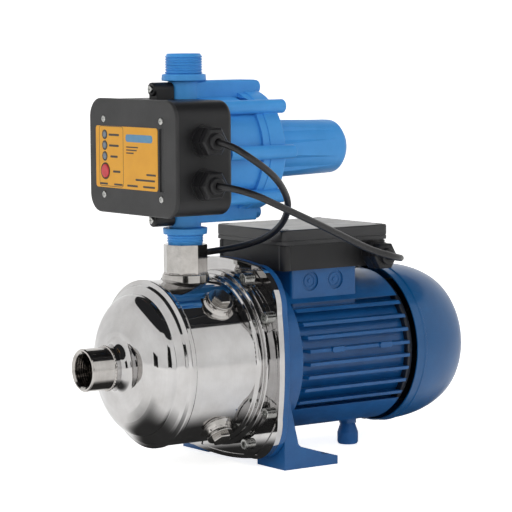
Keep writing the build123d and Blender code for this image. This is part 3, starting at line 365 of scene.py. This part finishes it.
# Plasticised PVC sheath, extruded: soft gloss with slow streaks.
PVC_JACKET = Finish("pvc_jacket_extruded", "cable_jacket", "#1b1b1d", "#151517", 0.36, 0.06, grain=0.9,
                    grain_depth=0.008, blotch=16.0)
PLUG_PVC = Finish("pvc_plug_moulded", "black_plastic", "#252527", "#1e1e20", 0.42, 0.05, grain=0.6,
                  grain_depth=0.014, blotch=14.0)
NICKEL = Finish("brass_nickel_plated", "zinc_screw", "#cfcabf", "#bdb8ac", 0.18, 0.05, metallic=1.0,
                grain=0.5, grain_depth=0.002, blotch=4.0)
CERAMIC = Finish("alumina_lapped", "seal_ceramic", "#e8e3d8", "#ded9cd", 0.2, 0.04, grain=0.3,
                 grain_depth=0.003, blotch=5.0)
LAMINATION = Finish("electrical_steel_stacked", "lamination", "#7a7a7c", "#68686b", 0.42, 0.08,
                    metallic=1.0, grain=0.5, grain_depth=0.02, blotch=8.0, lay=Lay.ROUND_SHAFT)
COPPER = Finish("copper_wire_varnished", "copper_winding", "#b5633a", "#8f4a28", 0.32, 0.06, metallic=1.0,
                coat=0.4, grain=1.1, grain_depth=0.15, blotch=6.0)
LAMINATE = Finish("glass_laminate_green_mask", "green_laminate", "#1f6b3c", "#195a31", 0.35, 0.05,
                  grain=0.8, grain_depth=0.01, blotch=7.0)
CASTING_STEEL = Finish("steel_ground", "satin_steel", "#b9b6b0", "#a5a29c", 0.24, 0.06, metallic=1.0,
                       grain=0.5, grain_depth=0.003, blotch=8.0, lay=Lay.ROUND_SHAFT)
SPRING_STEEL = Finish("spring_steel_drawn", "satin_steel", "#aaa8a3", "#918f8a", 0.28, 0.06, metallic=1.0,
                      grain=0.5, grain_depth=0.004, blotch=4.0)


def dress(finish: Finish, *names: str) -> None:
    """Give CAD nodes a finish.

    Args:
        finish: the finish to use.
        names: CAD node names.
    """
    for name in names:
        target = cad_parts[name]
        target.data.materials.clear()
        target.data.materials.append(finish.material())
        log.info("dressed %s in %s", name, finish.name)


def add_piece(name: str, mesh: bpy.types.Mesh, finish: Finish, body: str = "pump") -> bpy.types.Object:
    """Add a new piece that rides on a body.

    Args:
        name: the piece's name.
        mesh: its mesh, already in the row frame.
        finish: its finish.
        body: the CAD body it moves with.

    Returns:
        The new object.
    """
    made = bpy.data.objects.new(name, mesh)
    bpy.context.scene.collection.objects.link(made)
    made.data.materials.append(finish.material())
    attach(made, body)
    log.info("added %s on %s", name, body)
    return made


# ------------------------------------------------------------------ studio
@dataclass
class Studio:
    """Camera, pale floor with a curved backdrop, and soft light."""

    eye: Point = (-1.29009, -1.79916, 0.38861)
    target: Point = (-0.01807, 0.0, 0.18185)
    roll_degrees: float = -0.39
    focal: float = 172.14
    sensor: float = 36.0
    floor_radius: float = 3.2
    bend_radius: float = 1.4
    backdrop_height: float = 4.2
    floor_steps: int = 96
    paper_glow: float = 0.26
    paper_seen: float = 0.8
    mirrored_glow: float = 0.26
    aim_height: float = 0.16
    # Spread of the painted shadow on the paper under the pump, which only polished steel sees.
    painted_shadow_spread: Point = (3.6, 13.0, 0.0)

    def set_camera(self) -> None:
        """Place the camera at the chosen viewing angle."""
        data = bpy.data.cameras.new("camera")
        data.lens, data.sensor_width, data.clip_start, data.clip_end = self.focal, self.sensor, 0.05, 60.0
        camera = bpy.data.objects.new("camera", data)
        look = (Vector(self.target) - Vector(self.eye)).to_track_quat("-Z", "Y")
        camera.rotation_mode = "QUATERNION"
        camera.rotation_quaternion = look @ Quaternion((0, 0, 1), math.radians(self.roll_degrees))
        camera.location = self.eye
        bpy.context.scene.collection.objects.link(camera)
        bpy.context.scene.camera = camera

    def set_floor(self) -> None:
        """Lay a floor that curves up into a backdrop all round."""
        flat, bend = self.floor_radius, self.bend_radius
        rings = [(0.6, 0.0), (1.6, 0.0), (flat, 0.0)]
        for i in range(1, 9):
            turn = math.pi / 2 * i / 8
            rings.append((flat + bend * math.sin(turn), bend * (1 - math.cos(turn))))
        rings.append((flat + bend, self.backdrop_height))
        points, faces, steps = [(0.0, 0.0, 0.0)], [], self.floor_steps
        for radius, height in rings:
            for s in range(steps):
                turn = 2 * math.pi * s / steps
                points.append((radius * math.cos(turn), radius * math.sin(turn), height))
        for s in range(steps):
            faces.append((0, 1 + s, 1 + (s + 1) % steps))
            for r in range(len(rings) - 1):
                a, b = 1 + r * steps, 1 + (r + 1) * steps
                faces.append((a + s, b + s, b + (s + 1) % steps, a + (s + 1) % steps))
        mesh = bpy.data.meshes.new("floor")
        mesh.from_pydata(points, [], faces)
        mesh.shade_smooth()
        floor = bpy.data.objects.new("floor", mesh)
        bpy.context.scene.collection.objects.link(floor)
        paper = bpy.data.materials.new("paper_backdrop_white")
        paper.use_nodes = True
        tree = paper.node_tree
        tree.nodes.clear()
        place = add_node(tree, "ShaderNodeTexCoord").outputs["Object"]
        fibre = add_node(tree, "ShaderNodeTexNoise", inputs={"Vector": place, "Scale": 900.0, "Detail": 3.0})
        bump = add_node(tree, "ShaderNodeBump", inputs={"Height": fibre.outputs["Fac"], "Distance": 0.00005})
        matt = add_node(tree, "ShaderNodeBsdfDiffuse", inputs={
            "Color": linear_colour("#f4f4f3"), "Normal": bump.outputs[0]})
        ray = add_node(tree, "ShaderNodeLightPath")
        level = add_node(tree, "ShaderNodeMapRange", inputs={
            "Value": ray.outputs["Is Camera Ray"], "To Min": self.paper_glow, "To Max": self.paper_seen})
        mirrored = add_node(tree, "ShaderNodeMath", {"operation": "MULTIPLY_ADD"}, {
            0: ray.outputs["Is Glossy Ray"], 1: self.mirrored_glow, 2: level.outputs[0]})
        glow = add_node(tree, "ShaderNodeEmission", inputs={
            "Color": linear_colour("#ffffff"), "Strength": mirrored.outputs[0]})
        paper_lit = add_node(tree, "ShaderNodeAddShader", inputs={0: matt.outputs[0], 1: glow.outputs[0]})
        # Painted shadow: only glossy rays see a dark patch painted on the paper right under the pump, in
        # place of the pump's own shade.
        spread = add_node(tree, "ShaderNodeVectorMath", {"operation": "MULTIPLY"}, {
            0: place, 1: self.painted_shadow_spread})
        away = add_node(tree, "ShaderNodeVectorMath", {"operation": "LENGTH"}, {0: spread.outputs[0]})
        under = add_node(tree, "ShaderNodeMapRange", {"interpolation_type": "SMOOTHSTEP"}, {
            "Value": away.outputs["Value"], "From Min": 0.65, "From Max": 1.2, "To Min": 0.96, "To Max": 0.0})
        painted_shadow_amount = add_node(tree, "ShaderNodeMath", {"operation": "MULTIPLY"}, {
            0: under.outputs[0], 1: ray.outputs["Is Glossy Ray"]})
        # Painted shadow: dark matt paper that glossy rays see under the pump.
        painted_shadow_paper = add_node(tree, "ShaderNodeBsdfDiffuse", inputs={"Color": linear_colour("#141414")})
        both = add_node(tree, "ShaderNodeMixShader", inputs={
            0: painted_shadow_amount.outputs[0], 1: paper_lit.outputs[0], 2: painted_shadow_paper.outputs[0]})
        add_node(tree, "ShaderNodeOutputMaterial", inputs={"Surface": both.outputs[0]})
        mesh.materials.append(paper)

    def add_light(self, name: str, at: Point, size: tuple[float, float], watts: float, colour: str) -> None:
        """Hang one soft box that faces the pump.

        Args:
            name: the light's name.
            at: where it hangs, in metres.
            size: its width and height.
            watts: its power.
            colour: sRGB hex of its light.
        """
        data = bpy.data.lights.new(name, "AREA")
        data.shape, data.size, data.size_y, data.energy = "RECTANGLE", size[0], size[1], watts
        data.color = linear_colour(colour)[:3]
        lamp = bpy.data.objects.new(name, data)
        lamp.location = at
        lamp.rotation_mode = "QUATERNION"
        lamp.rotation_quaternion = (Vector((0.0, 0.0, self.aim_height)) - Vector(at)).to_track_quat("-Z", "Y")
        # The paper and the cards make the reflections, so no hard lamp shape shows in the steel.
        lamp.visible_glossy = False
        bpy.context.scene.collection.objects.link(lamp)

    def add_flag(self, name: str, at: Point, size: tuple[float, float]) -> None:
        """Stand one dark card that polished steel mirrors.

        Args:
            name: the card's name.
            at: its centre, in metres.
            size: its width and height.
        """
        place = Matrix.Translation(Vector(at)) @ (
            Vector((0.0, 0.0, 0.12)) - Vector(at)).to_track_quat("Z", "Y").to_matrix().to_4x4()
        outline = rounded_box(size[0] * 500, size[1] * 500, 20.0)
        mesh = thin_print(name, outline, None, place, 4.0)
        card = bpy.data.objects.new(name, mesh)
        bpy.context.scene.collection.objects.link(card)
        dark = bpy.data.materials.get("card_black_matt") or bpy.data.materials.new("card_black_matt")
        dark.use_nodes = True
        shader = dark.node_tree.nodes["Principled BSDF"]
        shader.inputs["Base Color"].default_value = linear_colour("#0b0b0c")
        shader.inputs["Roughness"].default_value = 0.9
        mesh.materials.append(dark)
        card.visible_diffuse = False
        card.visible_shadow = False

    def set_world(self) -> None:
        """Grey room: paler low down, dark overhead, so that polished steel has contrast."""
        world = bpy.data.worlds.new("studio")
        bpy.context.scene.world = world
        world.use_nodes = True
        tree = world.node_tree
        tree.nodes.clear()
        sky = add_node(tree, "ShaderNodeTexCoord").outputs["Generated"]
        up = add_node(tree, "ShaderNodeSeparateXYZ", inputs={0: sky}).outputs["Z"]
        fade = add_node(tree, "ShaderNodeMapRange", inputs={
            "Value": up, "From Min": 0.3, "From Max": 0.7, "To Min": 0.12, "To Max": 0.03})
        shade = add_node(tree, "ShaderNodeBackground", inputs={
            "Color": linear_colour("#f6f8ff"), "Strength": fade.outputs[0]})
        add_node(tree, "ShaderNodeOutputWorld", inputs={"Surface": shade.outputs[0]})

    def build(self) -> None:
        """Set camera, floor, world and lights."""
        self.set_camera()
        self.set_floor()
        self.set_world()
        self.add_light("key_soft_box", (-0.9, -1.9, 1.5), (1.2, 1.0), 10.5, "#fffaf4")
        self.add_light("left_soft_box", (-2.2, -0.2, 1.2), (1.0, 1.0), 7.0, "#ffffff")
        self.add_light("top_soft_box", (0.0, 0.3, 2.2), (1.6, 1.2), 14.0, "#ffffff")
        self.add_flag("left_card", (-1.8, 0.05, 0.05), (0.42, 0.5))
        self.add_flag("camera_side_card", (-1.85, -2.58, 0.9), (1.5, 1.7))
        bpy.context.scene.view_settings.view_transform = "Standard"
        log.info("studio set")


# ------------------------------------------------------------------ leads
@dataclass
class Leads:
    """Motor lead, supply lead with its put-away coil, and the plug."""

    diameter: float = 6.0
    coil_x: float = 3.0
    coil_y: float = 135.0
    turn_radii: tuple[float, ...] = (36.0, 30.0, 30.0, 36.0)
    turn_heights: tuple[float, ...] = (3.5, 3.5, 9.5, 9.5)
    steps: int = 16
    plug_at: Point = (96.0, 119.5, 18.7)
    plug_axis: Point = (0.95, 0.31, 0.0)

    def motor_route(self) -> list[Point]:
        """Control points of the lead from the controller to the terminal box, in millimetres."""
        return [
            (-119.9, -74.0, 253.8), (-119.9, -101.5, 253.8), (-105.0, -121.0, 248.0), (-80.0, -122.5, 236.8),
            (-52.0, -120.0, 225.6), (-24.0, -116.5, 214.2), (4.0, -114.5, 201.8), (28.0, -114.0, 191.6),
            (54.0, -116.0, 184.4), (74.0, -96.0, 181.5), (74.0, -66.0, 181.5)]

    def supply_route(self) -> list[Point]:
        """Control points from the controller down behind the casing to the coil, in millimetres."""
        return [
            (-119.9, -74.0, 291.4), (-119.9, -101.5, 291.4), (-104.5, -119.0, 277.2), (-82.0, -118.0, 262.6),
            (-61.0, -105.0, 247.0), (-45.0, -88.0, 232.6), (-36.5, -68.0, 217.0), (-34.5, -45.0, 204.2),
            (-38.0, -21.0, 195.6), (-47.5, -1.0, 190.2), (-62.0, 18.0, 186.6), (-66.0, 42.0, 181.0),
            (-66.0, 68.0, 168.0), (-65.0, 90.0, 148.0), (-64.0, 101.0, 118.0), (-63.0, 103.0, 84.0),
            (-62.0, 101.0, 54.0), (-61.0, 102.0, 30.0), (-52.0, 103.5, 12.8), (-36.0, 102.4, 3.3),
            (-20.6, 100.2, 3.3)]

    def coil_route(self) -> list[Point]:
        """Control points of the coil: each turn steps sideways or up in its last quarter."""
        points = []
        # A spline of order 3 runs this much inside a ring of control points.
        inside = 0.75 + 0.25 * math.cos(2 * math.pi / self.steps)
        turns = len(self.turn_radii)
        for k in range(turns * self.steps + 1):
            turn, step = divmod(k, self.steps)
            this = min(turn, turns - 1)
            after = min(this + 1, turns - 1)
            ease = max(0.0, step / self.steps * 4 - 3) if turn < turns else 0.0
            radius = (self.turn_radii[this] * (1 - ease) + self.turn_radii[after] * ease) / inside
            height = self.turn_heights[this] * (1 - ease) + self.turn_heights[after] * ease
            angle = 2 * math.pi * k / self.steps - math.pi / 2
            x, y = self.coil_x + radius * math.cos(angle), self.coil_y + radius * math.sin(angle)
            points.append((x, y, height))
        return points

    def tail_route(self) -> list[Point]:
        """Control points from the coil into the plug, in millimetres."""
        return [
            (27.2, 100.2, 7.6), (44.0, 102.0, 3.6), (62.0, 107.5, 4.8), (79.0, 113.5, 12.4),
            (96.0, 119.5, 18.7), (101.0, 121.1, 18.7)]

    def cable(self, name: str, points: list[Point]) -> bpy.types.Object:
        """Make a round cable along a spline.

        Args:
            name: the piece's name.
            points: control points in millimetres.

        Returns:
            The curve object.
        """
        data = bpy.data.curves.new(name, "CURVE")
        data.dimensions = "3D"
        data.bevel_depth = self.diameter / 2 * MM
        data.bevel_resolution = 5
        data.resolution_u = 8
        data.use_fill_caps = True
        spline = data.splines.new("NURBS")
        spline.points.add(len(points) - 1)
        for slot, (x, y, z) in zip(spline.points, points):
            slot.co = (x * MM, y * MM, z * MM, 1.0)
        spline.order_u = 3
        spline.use_endpoint_u = True
        made = bpy.data.objects.new(name, data)
        bpy.context.scene.collection.objects.link(made)
        data.materials.append(PVC_JACKET.material())
        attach(made, "pump")
        log.info("added %s", name)
        return made

    def measure(self, cable: bpy.types.Object) -> float:
        """Length of a cable's centre line, in metres."""
        thin = cable.data.copy()
        thin.bevel_depth = 0.0
        probe = bpy.data.objects.new("probe", thin)
        line = bpy.data.meshes.new_from_object(probe)
        ends = ((line.vertices[a].co, line.vertices[b].co) for a, b in (e.vertices for e in line.edges))
        length = sum((first - second).length for first, second in ends)
        bpy.data.objects.remove(probe)
        bpy.data.meshes.remove(line)
        bpy.data.curves.remove(thin)
        return length

    def plug(self) -> list[bpy.types.Object]:
        """Moulded round plug with two nickel pins."""
        axis = Vector(self.plug_axis).normalized()
        place = turned_frame(tuple(Vector(self.plug_at) * MM), tuple(axis))
        relief = [(0.0, 0.0), (4.4, 0.0), (4.7, 0.5)]
        for i in range(5):
            start = 2.6 + 5.0 * i
            swell = 0.25 * i
            relief += [(4.7 + swell, start), (3.9 + swell, start + 0.4), (3.9 + swell, start + 2.2),
                       (4.8 + swell, start + 2.6)]
        grip = relief + [(8.0, 30.0), (11.6, 32.4), (14.0, 35.4), (15.4, 43.0), (16.4, 51.5), (17.6, 54.6),
                         (18.3, 56.4), (18.45, 60.0), (18.45, 67.8), (17.9, 69.4), (16.8, 70.0), (0.0, 70.0)]
        body = add_piece("plug_body", lathe("plug_body", grip, place, 96), PLUG_PVC)
        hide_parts("supply_plug")
        pins = []
        for side in (-9.5, 9.5):
            pin_place = place @ Matrix.Translation(Vector((side * MM, 0, 69.5 * MM)))
            shape = [(0.0, 0.0), (2.4, 0.0), (2.4, 17.6), (2.1, 18.7), (1.3, 19.3), (0.0, 19.5)]
            name = "plug_pin_left" if side < 0 else "plug_pin_right"
            pins.append(add_piece(name, lathe(name, shape, pin_place, 32), NICKEL))
        return [body, *pins]

    def tie(self) -> bpy.types.Object:
        """Thin strap wrapped round the bundle of turns on the far side of the coil."""
        wide, thick = 7.0, 0.3
        outer = rounded_box(6.42, 6.38, 3.2)
        inner = rounded_box(6.42 - thick, 6.38 - thick, 3.2 - thick)
        place = Matrix.Translation(Vector((self.coil_x - wide / 2, self.coil_y + 33.0, 6.5)) * MM) @ Matrix(
            ((0, 0, 1, 0), (1, 0, 0, 0), (0, 1, 0, 0), (0, 0, 0, 1)))
        return add_piece("coil_tie", thin_print("coil_tie", outer, inner, place, wide), RUBBER)

    def build(self) -> None:
        motor = self.cable("motor_cable", self.motor_route())
        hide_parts("motor_lead")
        round(self.measure(motor), 4)
        route = self.supply_route() + self.coil_route() + self.tail_route()
        supply = self.cable("supply_cable", route)
        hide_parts("supply_lead", "supply_coil")
        round(self.measure(supply), 4)
        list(self.plug())
        self.tie()


# ------------------------------------------------------------------ sub-assemblies
@dataclass
class Casing:
    """Polished pump casing with its sockets, plugs, screws and hydraulics."""

    socket_weld_x: float = -179.4
    socket_weld_r: float = 19.2
    outlet_weld_z: float = 171.6
    outlet_weld_r: float = 18.9

    def weld_bead(self, name: str, place: Matrix, radius: float, ripples: int) -> None:
        """Run one weld bead with its pool ripples.

        Args:
            name: the piece's name.
            place: matrix whose local Z is the joint's axis.
            radius: middle radius of the bead, in millimetres.
            ripples: how many pools there are round the joint.
        """
        section = [(radius + 0.75 * math.cos(2 * math.pi * i / 12), 0.75 * math.sin(2 * math.pi * i / 12))
                   for i in range(12)]
        add_piece(name, lathe(name, section, place, ripples * 6, (ripples, 0.22)), SOCKET_STEEL)

    def build(self) -> None:
        """Dress the casing and add its weld beads."""
        dress(MIRROR_STEEL, "casing_shell", "seal_plate")
        dress(SOCKET_STEEL, "suction_socket", "casing_bosses")
        dress(TURNED_STEEL, "discharge_socket", "fill_plug", "drain_plug")
        dress(ZINC, "casing_bolts")
        dress(RUBBER, "fill_plug_seal", "drain_plug_seal", "casing_seal", "seal_head")
        dress(INNER_BLACK, "nozzle", "ejector", "diffuser", "impeller")
        dress(CASTING_STEEL, "impeller_nut")
        dress(SPRING_STEEL, "seal_spring")
        dress(CERAMIC, "seal_seat")
        self.weld_bead("socket_weld", turned_frame((self.socket_weld_x * MM, 0, SHAFT_HEIGHT), (1, 0, 0)),
                       self.socket_weld_r, 44)
        self.weld_bead("outlet_weld", turned_frame((PIPE_X, 0, self.outlet_weld_z * MM), (0, 0, 1)),
                       self.outlet_weld_r, 40)


@dataclass
class Motor:
    """Finned motor with its bracket, fan and cover."""

    entry_x: tuple[float, float] = (9.0, 36.8)
    entry_z: float = 161.0
    entry_floor_y: float = 44.4

    def blind_entries(self) -> None:
        """Raised ring and button cast in the floor of each blind cable entry."""
        for number, x in enumerate(self.entry_x):
            for side in (-1, 1):
                floor = (x * MM, side * self.entry_floor_y * MM, self.entry_z * MM)
                place = turned_frame(floor, (0, side, 0))
                ring = [(4.6, -0.2), (6.4, -0.2), (6.4, 0.35), (6.1, 0.6), (4.9, 0.6), (4.6, 0.35)]
                button = [(0.0, -0.2), (2.2, -0.2), (2.2, 0.45), (1.9, 0.7), (0.0, 0.75)]
                where = f"{'front' if side < 0 else 'back'}_{number + 1}"
                add_piece(f"entry_ring_{where}", lathe("entry_ring", ring, place, 48), ENAMEL)
                add_piece(f"entry_button_{where}", lathe("entry_button", button, place, 32), ENAMEL)

    def build(self) -> None:
        """Dress the motor."""
        dress(ENAMEL, "bracket", "motor_frame")
        dress(ENAMEL_SHEET, "fan_cover")
        dress(BLUE_FOOT, "rear_foot")
        dress(DARK_ENAMEL, "rear_shield")
        dress(INNER_BLACK, "fan")
        dress(ZINC, "tie_bolts", "fan_cover_screws")
        dress(CASTING_STEEL, "shaft", "ball_bearings")
        dress(RUBBER, "slinger")
        dress(LAMINATION, "rotor_core", "stator_core")
        dress(COPPER, "windings")
        self.blind_entries()


@dataclass
class TerminalBox:
    """Black box on the motor with its lid, gland and run capacitor."""

    def build(self) -> None:
        """Dress the box."""
        dress(LID_PLASTIC, "terminal_lid")
        dress(BLACK_PLASTIC, "terminal_base", "terminal_gland")
        dress(RUBBER, "lid_gasket")
        dress(ZINC, "terminal_screws")
        dress(WHITE_PLASTIC, "capacitor", "terminal_block")


@dataclass
class Controller:
    """Flow controller: light blue body, black electronics box and amber front label."""

    face_x: float = -149.8
    film: float = 0.06
    lens_y: float = 44.0
    lens_z: tuple[float, ...] = (294.5, 285.0, 275.4)
    button_y: float = 43.2
    button_z: float = 262.3

    def on_face(self, y: float, z: float) -> Matrix:
        """Matrix of a spot on the label, with local X towards -Y, Y up and Z outwards."""
        turn = Matrix(((0, 0, -1, 0), (-1, 0, 0, 0), (0, 1, 0, 0), (0, 0, 0, 1)))
        return Matrix.Translation(Vector((self.face_x, y, z)) * MM) @ turn

    def bar(self, name: str, y: float, z: float, wide: float, high: float, finish: Finish) -> None:
        """Print one plain bar.

        Args:
            name: the piece's name.
            y: its centre across the pump, in millimetres.
            z: its centre height.
            wide: its width.
            high: its height.
            finish: its ink.
        """
        outline = rounded_box(wide / 2, high / 2, min(high, wide) * 0.4, 3)
        add_piece(name, thin_print(name, outline, None, self.on_face(y, z), self.film), finish)

    def label_print(self) -> None:
        """Outline box, rings round the windows and button, and plain bars in place of words."""
        outer, inner = rounded_box(19.8, 26.6, 3.0), rounded_box(19.35, 26.15, 2.55)
        outline = thin_print("label_outline", outer, inner, self.on_face(33.2, 275.5), self.film)
        add_piece("label_outline", outline, PRINT_BLACK)
        for number, z in enumerate(self.lens_z):
            ring = [(3.05, -0.1), (4.3, -0.1), (4.3, 0.1), (3.9, 0.35), (3.3, 0.35), (3.05, 0.1)]
            name = f"window_ring_{number + 1}"
            add_piece(name, lathe(name, ring, self.on_face(self.lens_y, z), 48), PRINT_BLACK)
            self.bar(f"window_mark_{number + 1}", 28.8, z, (17.0, 16.0, 12.0)[number], 1.9, PRINT_BLACK)
        ring = [(6.55, -0.1), (7.5, -0.1), (7.5, 0.1), (7.2, 0.4), (6.8, 0.4), (6.55, 0.1)]
        add_piece("button_ring", lathe("button_ring", ring, self.on_face(self.button_y, self.button_z), 64),
                  PRINT_BLACK)
        self.bar("button_mark", 24.6, 262.3, 12.0, 1.9, PRINT_BLACK)
        self.bar("label_band", -12.0, 292.4, 43.0, 6.6, PRINT_BLUE)
        for number, wide in enumerate((19.0, 17.0, 12.0)):
            self.bar(f"small_mark_{number + 1}", 8.6 - wide / 2, 284.6 - 2.6 * number, wide, 1.1, PRINT_BLACK)
        self.bar("rating_mark_1", -31.0, 261.6, 15.0, 1.7, PRINT_BLACK)
        self.bar("rating_mark_2", -21.5, 256.6, 31.0, 1.7, PRINT_BLACK)
        for number, (y, wide) in enumerate(((46.0, 13.0), (22.0, 14.0), (-1.0, 17.0), (-27.5, 19.0))):
            self.bar(f"foot_mark_{number + 1}", y, 251.4 - 0.4, wide, 1.7, PRINT_BLACK)

    def build(self) -> None:
        """Dress the controller and print its label."""
        dress(SKY_BLUE, "valve_body", "valve_cap")
        dress(BLACK_PLASTIC, "electronics_housing", "controller_glands")
        dress(CHARCOAL, "front_plate")
        dress(AMBER_FILM, "label")
        dress(ZINC, "plate_screws", "valve_cap_screws", "lug_screws")
        dress(SMOKED_LENS, "indicator_lenses")
        dress(RED_RUBBER, "restart_button")
        dress(RUBBER, "diaphragm")
        dress(SPRING_STEEL, "diaphragm_spring")
        dress(WHITE_PLASTIC, "flow_piston")
        dress(LAMINATE, "circuit_board")
        self.label_print()


def main() -> None:
    """Build the scene in order: camera and cords first, then each sub-assembly."""
    logging.basicConfig(level=logging.INFO, format="%(name)s: %(message)s")
    Studio().build()
    for part in (Leads(), Casing(), Motor(), TerminalBox(), Controller()):
        part.build()
        log.info("%s done", type(part).__name__)


if __name__ == "__main__":
    main()
